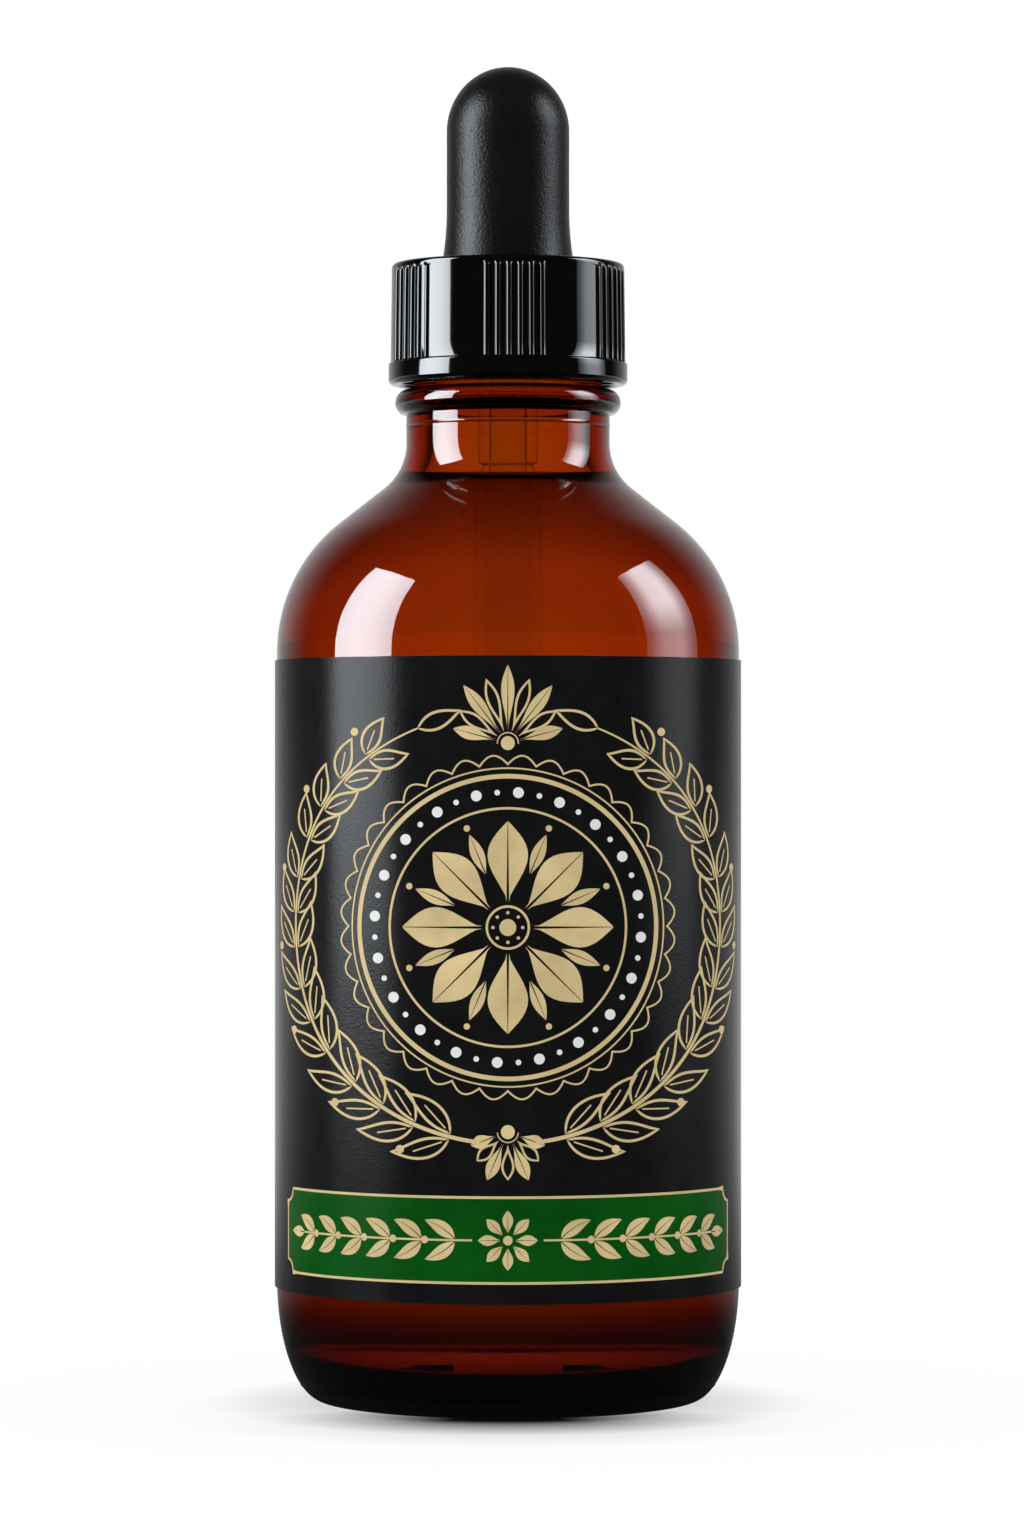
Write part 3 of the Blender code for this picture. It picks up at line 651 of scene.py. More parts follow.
class Print:
    """Flat artwork that is drawn in label coordinates and wrapped round the bottle.

    Label coordinates are (u, v): u runs along the paper from the middle of the front to the
    right, and v is the height over the table. Art with widen set spreads a little towards its
    sides, so that a ring looks round from the front.
    """

    def __init__(self, name, radius, widen=0.0):
        self.name = name
        self.radius = radius
        self.widen = widen
        self.cross_step = 0.0009
        self.shape = bmesh.new()

    def wrap(self, u, v):
        spread = 1.0 + self.widen * (u / self.radius) ** 2
        turn = FRONT_ANGLE + u * spread / self.radius
        return self.shape.verts.new((self.radius * math.cos(turn), self.radius * math.sin(turn), v))

    def rows(self, rows, closed=False):
        """Skin a list of equally long rows of (u, v) points."""
        made = [[self.wrap(*point) for point in row] for row in rows]
        pairs = list(zip(made, made[1:]))
        if closed:
            pairs.append((made[-1], made[0]))
        for first, second in pairs:
            for index in range(len(first) - 1):
                corners = (first[index], first[index + 1], second[index + 1], second[index])
                self.shape.faces.new(corners)

    def stroke(self, path, width, closed=False):
        """Line of even width, or with a width for every point, along a list of points."""
        widths = width if isinstance(width, list) else [width] * len(path)
        across = max(1, math.ceil(max(widths) / self.cross_step))
        rows = []
        total = len(path)
        for index, point in enumerate(path):
            before = path[index - 1] if index or closed else point
            after = path[(index + 1) % total] if index < total - 1 or closed else point
            along = Vector((after[0] - before[0], after[1] - before[1])).normalized()
            side = Vector((-along.y, along.x))
            bend = 1.0
            if before is not point and after is not point:
                first = Vector((point[0] - before[0], point[1] - before[1])).normalized()
                bend = 1.0 / max(0.5, abs(first.dot(along)))
            half = widths[index] / 2.0 * bend
            row = []
            for step in range(across + 1):
                offset = half * (2.0 * step / across - 1.0)
                row.append((point[0] + side.x * offset, point[1] + side.y * offset))
            rows.append(row)
        self.rows(rows, closed)

    def leaf(self, base, heading, size, width, curl=0.0, belly=0.42, rib=0.0, rim=None, steps=14):
        """Pointed leaf along a heading, widest at belly.

        It is filled on both sides of a bare rib, or drawn as an outline as wide as rim.
        """
        power = math.log(0.5) / math.log(belly)
        spine = [base]
        for index in range(steps):
            turn = heading + curl * (index + 0.5) / steps
            spine.append((spine[-1][0] + size / steps * math.cos(turn),
                          spine[-1][1] + size / steps * math.sin(turn)))
        for side in (-1.0, 1.0):
            rows = []
            for index, (u, v) in enumerate(spine):
                part = index / steps
                turn = heading + curl * part + QUARTER_TURN
                edge = width / 2.0 * math.sin(HALF_TURN * part ** power) + 0.00002
                inner = rib / 2.0 * (1.0 - 0.8 * part)
                if rim is not None:
                    inner = max(0.0, edge - rim)
                edge = max(edge, inner + 0.00001)
                rows.append([(u + side * offset * math.cos(turn), v + side * offset * math.sin(turn))
                             for offset in (inner, (inner + edge) / 2.0, edge)])
            self.rows(rows)

    def disc(self, center, radius):
        rows = []
        for index in range(11):
            height = -math.cos(HALF_TURN * index / 10.0)
            half = max(0.04, math.sin(HALF_TURN * index / 10.0)) * radius
            rows.append([(center[0] + half * side, center[1] + radius * height)
                         for side in (-1.0, 0.0, 1.0)])
        self.rows(rows)

    def ring(self, center, radius, width, steps=128, scallops=0, depth=0.0):
        """Ring, plain or with an edge of round scallops."""
        path = []
        for index in range(steps):
            turn = FULL_TURN * index / steps
            reach = radius + depth * abs(math.sin(scallops * turn / 2.0))
            path.append((center[0] + reach * math.cos(turn), center[1] + reach * math.sin(turn)))
        self.stroke(path, width, closed=True)

    def build(self, thickness):
        """Give the art its thickness, outwards, and make it an object with crisp edges."""
        raised = bmesh.ops.extrude_face_region(self.shape, geom=self.shape.faces[:])
        growth = (self.radius + thickness) / self.radius
        for item in raised["geom"]:
            if isinstance(item, bmesh.types.BMVert):
                item.co.x *= growth
                item.co.y *= growth
        bmesh.ops.recalc_face_normals(self.shape, faces=self.shape.faces)
        return finish_mesh(self.name, self.shape)


def make_paper(label):
    """The black paper, wrapped round the body with its seam open at the back."""
    sheet = Print("label_paper", label.radius - label.thickness)
    half_width = (FULL_TURN * sheet.radius - label.seam) / 2.0
    columns = 192
    rows = []
    for row in range(9):
        part = row / 8.0
        height = label.low + (label.high - label.low) * part
        rows.append([(half_width * (2.0 * column / columns - 1.0), height)
                     for column in range(columns + 1)])
    sheet.rows(rows)
    piece = sheet.build(label.thickness)
    dress(piece, label_paper(label), "bottle", "label_paper", "label")


def plaque_outline(half_width, low, high, notch):
    """Outline of a plaque whose four corners are quarter circles cut inwards."""
    points = []
    corners = ((half_width, low, HALF_TURN), (half_width, high, 1.5 * HALF_TURN),
               (-half_width, high, FULL_TURN), (-half_width, low, QUARTER_TURN))
    for u, v, start in corners:
        points += arc((u, v), (notch, notch), start, start - QUARTER_TURN, 8)
    return points


def plaque_band(label):
    """Lower edge, upper edge, half width and corner notch of the plaque."""
    return label.low + 0.00215, label.low + 0.0107, 0.0287, 0.0013


def make_plaque(label):
    """Green plaque near the foot of the label."""
    low, high, half_width, notch = plaque_band(label)
    field = Print("label_plaque", label.radius)
    places = [half_width * (2.0 * column / 64.0 - 1.0) for column in range(65)]
    for step in range(1, 8):
        near_side = half_width - notch * step / 8.0
        places += [near_side, -near_side]
    rows = []
    for u in sorted(places):
        inside = half_width - abs(u)
        cut = math.sqrt(max(0.0, notch * notch - inside * inside)) if inside < notch else 0.0
        rows.append([(u, low + cut), (u, high - cut)])
    field.rows(rows)
    piece = field.build(label.ink)
    deep = scaled(label.green, 0.75)
    ink = printed_ink("plaque_green", label.green, deep, 0.21, gloss=0.10)
    dress(piece, ink, "bottle", "label_paper")


def draw_plaque_gold(gold, fine, label):
    """Border of the plaque, and a branch of leaves and berries on each side of a small flower."""
    low, high, half_width, notch = plaque_band(label)
    middle = (low + high) / 2.0
    outline = plaque_outline(half_width, low, high, notch)
    path = []
    for first, second in zip(outline, outline[1:] + outline[:1]):
        path.append(first)
        gap = math.dist(first, second)
        if gap > 0.002:
            path += line(first, second, math.ceil(gap / 0.0010))[:-1]
    fine.stroke(path, 0.00026, closed=True)
    for side in (-1.0, 1.0):
        ahead = 0.0 if side > 0.0 else HALF_TURN
        stem = [(side * (0.0036 + 0.0212 * part / 30.0), middle) for part in range(31)]
        fine.stroke(stem, 0.00020)
        for index in range(6):
            u = side * (0.0054 + 0.0035 * index)
            size = 0.0036 - 0.00012 * index
            for lean in (-1.0, 1.0):
                foot = (u, middle + side * lean * 0.00018)
                gold.leaf(foot, ahead + lean * 0.80, size, 0.00135, -lean * 0.55, rib=0.00012)
            gold.disc((u + side * 0.0031, middle), 0.00038)
        gold.leaf((side * 0.0248, middle), ahead, 0.0026, 0.0011, rib=0.00012)
    for petal in range(8):
        turn = FULL_TURN * petal / 8.0
        foot = (0.0008 * math.cos(turn), middle + 0.0008 * math.sin(turn))
        gold.leaf(foot, turn, 0.0022, 0.00105, belly=0.55, rib=0.00008, steps=8)
    gold.disc((0.0, middle), 0.00048)


def draw_wreath(gold, fine, center):
    """Two leafy branches that rise from the foot of the wreath and nearly meet at its top."""
    radii = (0.0232, 0.0216)
    for side in (-1.0, 1.0):
        path = []
        for index in range(81):
            turn = -QUARTER_TURN + side * math.radians(7.0 + 150.0 * index / 80.0)
            path.append((center[0] + radii[0] * math.cos(turn), center[1] + radii[1] * math.sin(turn)))
        fine.stroke(path, [0.00040 - 0.00022 * index / 80.0 for index in range(81)])
        for index in range(14):
            place = 4 + int(index * 5.3)
            foot = path[place]
            ahead = math.atan2(path[place + 1][1] - foot[1], path[place + 1][0] - foot[0])
            size = 0.0062 - 0.0019 * index / 13.0
            for lean in (-1.0, 1.0):
                start = (foot[0] + 0.00030 * math.cos(ahead + lean * QUARTER_TURN),
                         foot[1] + 0.00030 * math.sin(ahead + lean * QUARTER_TURN))
                heading = ahead + lean * 0.72
                fine.leaf(start, heading, size, 0.0021, -lean * 0.50, rim=0.00028)
                tip = (start[0] + size * 0.62 * math.cos(heading - lean * 0.14),
                       start[1] + size * 0.62 * math.sin(heading - lean * 0.14))
                fine.stroke(line(start, tip, 5), 0.00015)
            if index % 2:
                turn = ahead - side * 1.45
                spot = (foot[0] + 0.0029 * math.cos(turn), foot[1] + 0.0029 * math.sin(turn))
                gold.disc(spot, 0.00042)
        ahead = math.atan2(path[-1][1] - path[-2][1], path[-1][0] - path[-2][0])
        fine.leaf(path[-1], ahead, 0.0048, 0.0019, rim=0.00028)


def draw_fan(gold, fine, base, heading, size, blades, spread):
    """Fan of blades that open from one foot, the middle one longest, round a dot with a fine arc."""
    for blade in range(blades):
        part = blade / (blades - 1) - 0.5
        turn = heading + spread * part
        reach = size * (1.0 - 1.1 * part * part)
        foot = (base[0] + 0.0013 * math.cos(turn), base[1] + 0.0013 * math.sin(turn))
        if blade % 2:
            fine.leaf(foot, turn, (reach - 0.0013) * 0.86, 0.0013, belly=0.62, rim=0.00024)
        else:
            gold.leaf(foot, turn, reach - 0.0013, 0.0013, belly=0.62, rib=0.00014)
    gold.disc(base, 0.0007)
    rim = []
    for index in range(13):
        turn = heading - spread * 0.62 + spread * 1.24 * index / 12.0
        rim.append((base[0] + 0.00105 * math.cos(turn), base[1] + 0.00105 * math.sin(turn)))
    fine.stroke(rim, 0.00012)


def draw_rosette(gold, fine, center):
    """Eight broad petals with eight slim ones between them, round a seeded middle."""
    for petal in range(8):
        turn = QUARTER_TURN + FULL_TURN * petal / 8.0
        foot = (center[0] + 0.0026 * math.cos(turn), center[1] + 0.0026 * math.sin(turn))
        gold.leaf(foot, turn, 0.0080, 0.0040, belly=0.58, rib=0.00026)
        between = turn + FULL_TURN / 16.0
        foot = (center[0] + 0.0058 * math.cos(between), center[1] + 0.0058 * math.sin(between))
        fine.leaf(foot, between, 0.0042, 0.0013, belly=0.5, rib=0.00014)
        tip = (center[0] + 0.0107 * math.cos(between), center[1] + 0.0107 * math.sin(between))
        fine.disc(tip, 0.00032)
    fine.ring(center, 0.0021, 0.00024, 48)
    gold.disc(center, 0.00085)
    for seed in range(8):
        turn = FULL_TURN * seed / 8.0
        spot = (center[0] + 0.00148 * math.cos(turn), center[1] + 0.00148 * math.sin(turn))
        gold.disc(spot, 0.00017)


def make_print(label):
    """Gold, pale gold and white print: a leaf wreath round a rosette, with a fan at each end."""
    center = (0.0, label.low + 0.03765)
    radius = label.radius + label.ink
    widen = 1.0 / 6.0
    fine = Print("label_gold_lines", radius, widen)
    gold = Print("label_gold_fills", radius + label.ink * 0.5, widen)
    white = Print("label_white_dots", label.radius, widen)
    draw_wreath(gold, fine, center)
    draw_rosette(gold, fine, center)
    fine.ring(center, 0.0119, 0.00024)
    fine.ring(center, 0.0151, 0.00046, 160)
    fine.ring(center, 0.0159, 0.00016, 160)
    fine.ring(center, 0.0163, 0.00018, 432, 36, 0.0009)
    draw_fan(gold, fine, (0.0, center[1] + 0.0184), QUARTER_TURN, 0.0078, 9, math.radians(150.0))
    draw_fan(gold, fine, (0.0, center[1] - 0.0204), -QUARTER_TURN, 0.0054, 7, math.radians(140.0))
    for index in range(40):
        turn = FULL_TURN * (index + 0.5) / 40.0
        spot = (center[0] + 0.0135 * math.cos(turn), center[1] + 0.0135 * math.sin(turn))
        white.disc(spot, 0.00054 if index % 2 else 0.00028)
    plaque_fine = Print("plaque_gold_lines", radius)
    plaque_gold = Print("plaque_gold_fills", radius + label.ink * 0.5)
    draw_plaque_gold(plaque_gold, plaque_fine, label)
    line_ink = printed_ink("gold_line_ink", label.gold, label.pale_gold, 0.36)
    fill_ink = printed_ink("gold_fill_ink", label.pale_gold, label.gold, 0.36)
    white_ink = printed_ink("white_ink", label.white, label.white, 0.45)
    finishes = ((fine, line_ink), (gold, fill_ink), (white, white_ink),
                (plaque_fine, line_ink), (plaque_gold, fill_ink))
    for artwork, ink in finishes:
        dress(artwork.build(label.ink), ink, "bottle", "label_paper")


# Materials

def new_group(name, sockets):
    """Shader node group from (socket name, "INPUT" or "OUTPUT", socket type, default)."""
    group = bpy.data.node_groups.new(name, "ShaderNodeTree")
    for socket_name, direction, kind, default in sockets:
        socket = group.interface.new_socket(name=socket_name, in_out=direction, socket_type=kind)
        if default is not None:
            socket.default_value = default
    start = group.nodes.new("NodeGroupInput")
    end = group.nodes.new("NodeGroupOutput")
    return group, start, end


def add_node(tree, kind, inputs=None, **values):
    """New node with its properties set, and its inputs set to values or linked to outputs."""
    node = tree.nodes.new(kind)
    for key, value in values.items():
        setattr(node, key, value)
    for key, value in (inputs or {}).items():
        if isinstance(value, bpy.types.NodeSocket):
            tree.links.new(value, node.inputs[key])
        else:
            node.inputs[key].default_value = value
    return node


def axis_of(tree, vector, axis):
    """One coordinate of a vector."""
    return add_node(tree, "ShaderNodeSeparateXYZ", {0: vector}).outputs[axis]


def worked(tree, operation, first, second=0.0):
    """Result of a Math node on two numbers or outputs."""
    return add_node(tree, "ShaderNodeMath", {0: first, 1: second}, operation=operation).outputs[0]


def ranged(tree, value, before, after, smooth=False):
    """Value mapped from one pair of bounds to another."""
    inputs = {"Value": value, "From Min": before[0], "From Max": before[1],
              "To Min": after[0], "To Max": after[1]}
    kind = "SMOOTHSTEP" if smooth else "LINEAR"
    return add_node(tree, "ShaderNodeMapRange", inputs, interpolation_type=kind).outputs["Result"]


def mixed_by(tree, factor, first, second):
    """Value between two numbers or outputs."""
    inputs = {"Factor": factor, "A": first, "B": second}
    return add_node(tree, "ShaderNodeMix", inputs, data_type="FLOAT").outputs["Result"]


def bare_material(name):
    """Material without any nodes, and its tree."""
    material = bpy.data.materials.new(name)
    material.use_nodes = True
    material.node_tree.nodes.clear()
    return material, material.node_tree


def surface_grain_group():
    """Fine irregular grain: a height for bumps and a mask for roughness."""
    name = "Surface Grain"
    if name in bpy.data.node_groups:
        return bpy.data.node_groups[name]
    group, start, end = new_group(name, (
        ("Scale", "INPUT", "NodeSocketFloat", 1000.0),
        ("Detail", "INPUT", "NodeSocketFloat", 2.0),
        ("Height", "OUTPUT", "NodeSocketFloat", None),
        ("Mask", "OUTPUT", "NodeSocketFloat", None),
    ))
    cell_share = 0.6
    place = add_node(group, "ShaderNodeTexCoord").outputs["Object"]
    scale = start.outputs["Scale"]
    fine = add_node(group, "ShaderNodeTexNoise", {
        "Vector": place, "Scale": scale, "Detail": start.outputs["Detail"],
        "Roughness": 0.55}).outputs["Fac"]
    cells = add_node(group, "ShaderNodeTexVoronoi", {
        "Vector": place, "Scale": scale, "Randomness": 1.0}, feature="SMOOTH_F1")
    height = add_node(group, "ShaderNodeMath", {
        0: cells.outputs["Distance"], 1: cell_share, 2: fine}, operation="MULTIPLY_ADD")
    group.links.new(height.outputs[0], end.inputs["Height"])
    group.links.new(fine, end.inputs["Mask"])
    return group


def soft_variation_group():
    """Slow change between two colours."""
    name = "Soft Variation"
    if name in bpy.data.node_groups:
        return bpy.data.node_groups[name]
    group, start, end = new_group(name, (
        ("Color A", "INPUT", "NodeSocketColor", (0.5, 0.5, 0.5, 1.0)),
        ("Color B", "INPUT", "NodeSocketColor", (0.5, 0.5, 0.5, 1.0)),
        ("Scale", "INPUT", "NodeSocketFloat", 60.0),
        ("Color", "OUTPUT", "NodeSocketColor", None),
    ))
    place = add_node(group, "ShaderNodeTexCoord").outputs["Object"]
    clouds = add_node(group, "ShaderNodeTexNoise", {
        "Vector": place, "Scale": start.outputs["Scale"], "Detail": 3.0, "Roughness": 0.6})
    spread = ranged(group, clouds.outputs["Fac"], NOISE_MIDDLE, (0.0, 1.0))
    blend = add_node(group, "ShaderNodeMix", {
        "Factor": spread, "A": start.outputs["Color A"], "B": start.outputs["Color B"]},
        data_type="RGBA")
    group.links.new(blend.outputs["Result"], end.inputs["Color"])
    return group


def new_surface(name, base, roughness):
    """Material with a plain Principled BSDF, and its tree and shader."""
    material = bpy.data.materials.new(name)
    material.use_nodes = True
    tree = material.node_tree
    shader = tree.nodes["Principled BSDF"]
    shader.inputs["Base Color"].default_value = base
    shader.inputs["Roughness"].default_value = roughness
    return material, tree, shader


def add_grain(tree, shader, scale, strength, distance, roughness_range=None, detail=2.0):
    """Grain bump on a shader, and its mask on the roughness where a range is given."""
    grain = add_node(tree, "ShaderNodeGroup", {"Scale": scale, "Detail": detail},
                     node_tree=surface_grain_group())
    bump = add_node(tree, "ShaderNodeBump", {
        "Height": grain.outputs["Height"], "Strength": strength, "Distance": distance})
    tree.links.new(bump.outputs["Normal"], shader.inputs["Normal"])
    if roughness_range:
        rough = ranged(tree, grain.outputs["Mask"], NOISE_MIDDLE, roughness_range)
        tree.links.new(rough, shader.inputs["Roughness"])


def add_variation(tree, shader, first, second, scale):
    """Slow change between two near colours on a shader's base colour."""
    clouds = add_node(tree, "ShaderNodeGroup", {
        "Color A": first, "Color B": second, "Scale": scale}, node_tree=soft_variation_group())
    tree.links.new(clouds.outputs["Color"], shader.inputs["Base Color"])


def scaled(base, factor):
    return (base[0] * factor, base[1] * factor, base[2] * factor, 1.0)


def add_depth_tint(tree, tint, density):
    """Absorption that deepens the colour where light goes a long way through a piece."""
    volume = add_node(tree, "ShaderNodeVolumeAbsorption", {"Color": tint, "Density": density})
    output = tree.nodes["Material Output"]
    tree.links.new(volume.outputs["Volume"], output.inputs["Volume"])


def see_through(name, tint, refraction, deeper, scale):
    """Smooth clear material whose tint slowly varies a little, and its tree and shader."""
    material, tree, shader = new_surface(name, tint, 0.0)
    shader.inputs["Transmission Weight"].default_value = 1.0
    shader.inputs["IOR"].default_value = refraction
    add_variation(tree, shader, tint, scaled(tint, deeper), scale)
    return material, tree, shader


def amber_glass(glass):
    """Polished amber glass, stippled on the underside that stands on the table."""
    material, tree, shader = see_through("amber_glass", glass.tint, 1.5, 0.96, 45.0)
    add_grain(tree, shader, 55.0, 0.03, 0.0004, detail=1.0)
    add_depth_tint(tree, glass.depth_tint, glass.depth)
    height = axis_of(tree, add_node(tree, "ShaderNodeTexCoord").outputs["Object"], "Z")
    stipple_edge = (glass.stipple_height * 0.9, glass.stipple_height)
    rough = ranged(tree, height, stipple_edge, (glass.stipple, 0.0))
    tree.links.new(rough, shader.inputs["Roughness"])
    return material


def bitters(liquid):
    material, tree, _ = see_through("bitters", liquid.tint, 1.33, 0.96, 30.0)
    add_depth_tint(tree, liquid.depth_tint, liquid.depth)
    return material


def clear_glass(pipette, name, refraction):
    return see_through(name, pipette.tint, refraction, 0.97, 60.0)[0]


def label_paper(label):
    material, tree, shader = new_surface("label_paper", label.paper, 0.21)
    shader.inputs["Specular IOR Level"].default_value = 0.10
    add_variation(tree, shader, label.paper, scaled(label.paper, 1.6), 350.0)
    add_grain(tree, shader, 4200.0, 0.30, 0.00003, (0.18, 0.25))
    return material


def printed_ink(name, first, second, roughness, gloss=0.16):
    material, tree, shader = new_surface(name, first, roughness)
    shader.inputs["Specular IOR Level"].default_value = gloss
    add_variation(tree, shader, first, scaled(second, 0.92), 160.0)
    add_grain(tree, shader, 5200.0, 0.1, 0.00003, (roughness - 0.04, roughness + 0.04))
    return material


def cap_plastic(cap):
    material, tree, shader = new_surface("cap_plastic", cap.plastic, 0.07)
    add_variation(tree, shader, cap.plastic, scaled(cap.plastic, 1.5), 200.0)
    add_grain(tree, shader, 90.0, 0.01, 0.0002, (0.05, 0.09))
    return material


def bulb_rubber(bulb):
    material, tree, shader = new_surface("bulb_rubber", bulb.rubber, 0.37)
    shader.inputs["Specular IOR Level"].default_value = 0.20
    add_variation(tree, shader, bulb.rubber, scaled(bulb.rubber, 1.4), 260.0)
    add_grain(tree, shader, 3600.0, 0.40, 0.00008, (0.33, 0.42))
    return material


# The stage

def make_floor():
    """Wide round floor that glows white to the camera, darkened round the object by a painted shadow.

    The shadow is painted, not cast by the lamps: ambient occlusion from what stands near, leaned
    towards the bright backdrop behind, and from what nearly touches the floor darkens the floor's
    glow. The painted shadow is strongest in front, and its share elsewhere is side_share. Close to
    the object the floor also takes a small share of the real shadows of the lights. Clear pieces
    look through to the same floor, painted a little dimmer. Gloss sees a painted reflection level on
    it: bright behind the object and dark in front, where the studio is dark.
    """
    shade_reach = 0.020
    shade_power = 0.4
    shade_lean = (0.0, 0.94, 0.34)
    contact_reach = 0.010
    contact_power = 1.6
    side_share = 0.3
    lit_share = 0.05
    seen_through = 0.65
    front_span = (-0.45, -0.95)
    lit_span = (0.03, 0.09)
    mirror_span = (0.02, 0.40)
    mirror_levels = (0.01, 0.85)
    floor_radius = 3.0
    drop = 0.0003
    shape = bmesh.new()
    bmesh.ops.create_circle(shape, cap_ends=True, segments=96, radius=floor_radius)
    floor = finish_mesh("studio_floor", shape)
    floor.location.z = -drop
    material, tree = bare_material("studio_floor")
    rays = add_node(tree, "ShaderNodeLightPath").outputs
    place = add_node(tree, "ShaderNodeTexCoord").outputs["Object"]
    lean = add_node(tree, "ShaderNodeCombineXYZ", dict(zip("XYZ", shade_lean))).outputs[0]
    # Painted shadow: ambient occlusion darkens the floor's white glow; no lamp casts it.
    sky = add_node(tree, "ShaderNodeAmbientOcclusion", {"Distance": shade_reach, "Normal": lean},
                   samples=16)
    near = add_node(tree, "ShaderNodeAmbientOcclusion", {"Distance": contact_reach}, samples=16)
    shadow = worked(tree, "POWER", sky.outputs["AO"], shade_power)
    contact = worked(tree, "POWER", near.outputs["AO"], contact_power)
    both = worked(tree, "MULTIPLY", shadow, contact)
    toward = add_node(tree, "ShaderNodeVectorMath", {0: place}, operation="NORMALIZE")
    facing = axis_of(tree, toward.outputs["Vector"], "Y")
    ahead = ranged(tree, facing, front_span, (side_share, 1.0))
    # Painted shadow weighted by place on the floor: full in front, side_share at the sides and back.
    painted_shadow = mixed_by(tree, ahead, 1.0, both)
    # Painted dimming: clear pieces see the floor's glow darker.
    dimmed = ranged(tree, rays["Is Transmission Ray"], (0.0, 1.0), (1.0, seen_through))
    painted_shadow_dimmed = worked(tree, "MULTIPLY", painted_shadow, dimmed)
    # Painted reflection level: gloss sees the floor bright behind the object and dark in front.
    mirrored = ranged(tree, axis_of(tree, place, "Y"), mirror_span, mirror_levels)
    level = mixed_by(tree, rays["Is Glossy Ray"], painted_shadow_dimmed, mirrored)
    clear = worked(tree, "MAXIMUM", rays["Is Glossy Ray"], rays["Is Transmission Ray"])
    seen = worked(tree, "MAXIMUM", clear, rays["Is Camera Ray"])
    far = add_node(tree, "ShaderNodeVectorMath", {0: place}, operation="LENGTH").outputs["Value"]
    fade = ranged(tree, far, lit_span, (1.0 - lit_share, 1.0), smooth=True)
    part = worked(tree, "MULTIPLY", seen, fade)
    diffuse = add_node(tree, "ShaderNodeBsdfDiffuse", {"Color": (0.8, 0.8, 0.8, 1.0)})
    white = add_node(tree, "ShaderNodeEmission", {"Color": WHITE, "Strength": level})
    mix = add_node(tree, "ShaderNodeMixShader", {
        "Fac": part, 1: diffuse.outputs["BSDF"], 2: white.outputs["Emission"]})
    add_node(tree, "ShaderNodeOutputMaterial", {"Surface": mix.outputs["Shader"]})
    floor.data.materials.append(material)


def make_world(stage):
    """White all round to the camera.

    Clear pieces look through to a bright backdrop behind the bottle and a dimmer one in front,
    so that the glass glows from the back too. Gloss reflects only the one behind. The rest of
    the studio is dark to both.
    """
    mirror_span, mirror_levels = (0.45, 0.985), (0.02, 0.62)
    behind_span, behind_levels = (0.55, 0.93), (0.07, 1.0)
    front_span, front_levels = (-0.62, -0.95), (0.0, 0.42)
    world = bpy.data.worlds.new("studio")
    world.use_nodes = True
    bpy.context.scene.world = world
    tree = world.node_tree
    tree.nodes.clear()
    rays = add_node(tree, "ShaderNodeLightPath").outputs
    way = axis_of(tree, add_node(tree, "ShaderNodeTexCoord").outputs["Generated"], "Y")
    mirrored = ranged(tree, way, mirror_span, mirror_levels, smooth=True)
    behind = ranged(tree, way, behind_span, behind_levels, smooth=True)
    front = ranged(tree, way, front_span, front_levels, smooth=True)
    through = worked(tree, "MAXIMUM", behind, front)
    gloss = mixed_by(tree, rays["Is Glossy Ray"], stage.fill, mirrored)
    lit = mixed_by(tree, rays["Is Transmission Ray"], gloss, through)
    seen = worked(tree, "MAXIMUM", lit, rays["Is Camera Ray"])
    background = add_node(tree, "ShaderNodeBackground", {"Color": WHITE, "Strength": seen})
    add_node(tree, "ShaderNodeOutputWorld", {"Surface": background.outputs["Background"]})


def make_softbox(name, azimuth, strength, edge_share, foot_share, diffuse_share):
    """Upright glowing panel just over the floor that faces the bottle.

    The azimuth is counted from the camera's side of the bottle towards the right. The shares
    are the panel's level at its upright edges and near its foot, and on matt surfaces. Light
    that comes through glass sees it at a level of 1.
    """
    distance = 0.60
    size = (0.38, 0.62)
    over_floor = 0.03
    edge_span = (0.1, 0.5)
    foot_span = (-0.27, 0.0)
    glow = (0.88, 0.94, 0.99, 1.0)
    shape = bmesh.new()
    bmesh.ops.create_grid(shape, x_segments=1, y_segments=1, size=0.5)
    panel = finish_mesh(name, shape)
    turn = FRONT_ANGLE + azimuth
    panel.scale = (size[0], size[1], 1.0)
    middle = size[1] / 2.0 + over_floor
    panel.location = (distance * math.cos(turn), distance * math.sin(turn), middle)
    panel.rotation_euler = (QUARTER_TURN, 0.0, turn - QUARTER_TURN)
    panel.visible_camera = False
    material, tree = bare_material(name)
    rays = add_node(tree, "ShaderNodeLightPath").outputs
    place = add_node(tree, "ShaderNodeTexCoord").outputs["Object"]
    aside = worked(tree, "ABSOLUTE", axis_of(tree, place, "X"))
    edges = ranged(tree, aside, edge_span, (strength, strength * edge_share), smooth=True)
    foot = ranged(tree, axis_of(tree, place, "Y"), foot_span, (foot_share, 1.0))
    shaped = worked(tree, "MULTIPLY", edges, foot)
    kind = mixed_by(tree, rays["Is Glossy Ray"], diffuse_share, 1.0)
    thrown = worked(tree, "MULTIPLY", shaped, kind)
    level = mixed_by(tree, rays["Is Transmission Ray"], thrown, 1.0)
    light = add_node(tree, "ShaderNodeEmission", {"Color": glow, "Strength": level})
    add_node(tree, "ShaderNodeOutputMaterial", {"Surface": light.outputs["Emission"]})
    panel.data.materials.append(material)


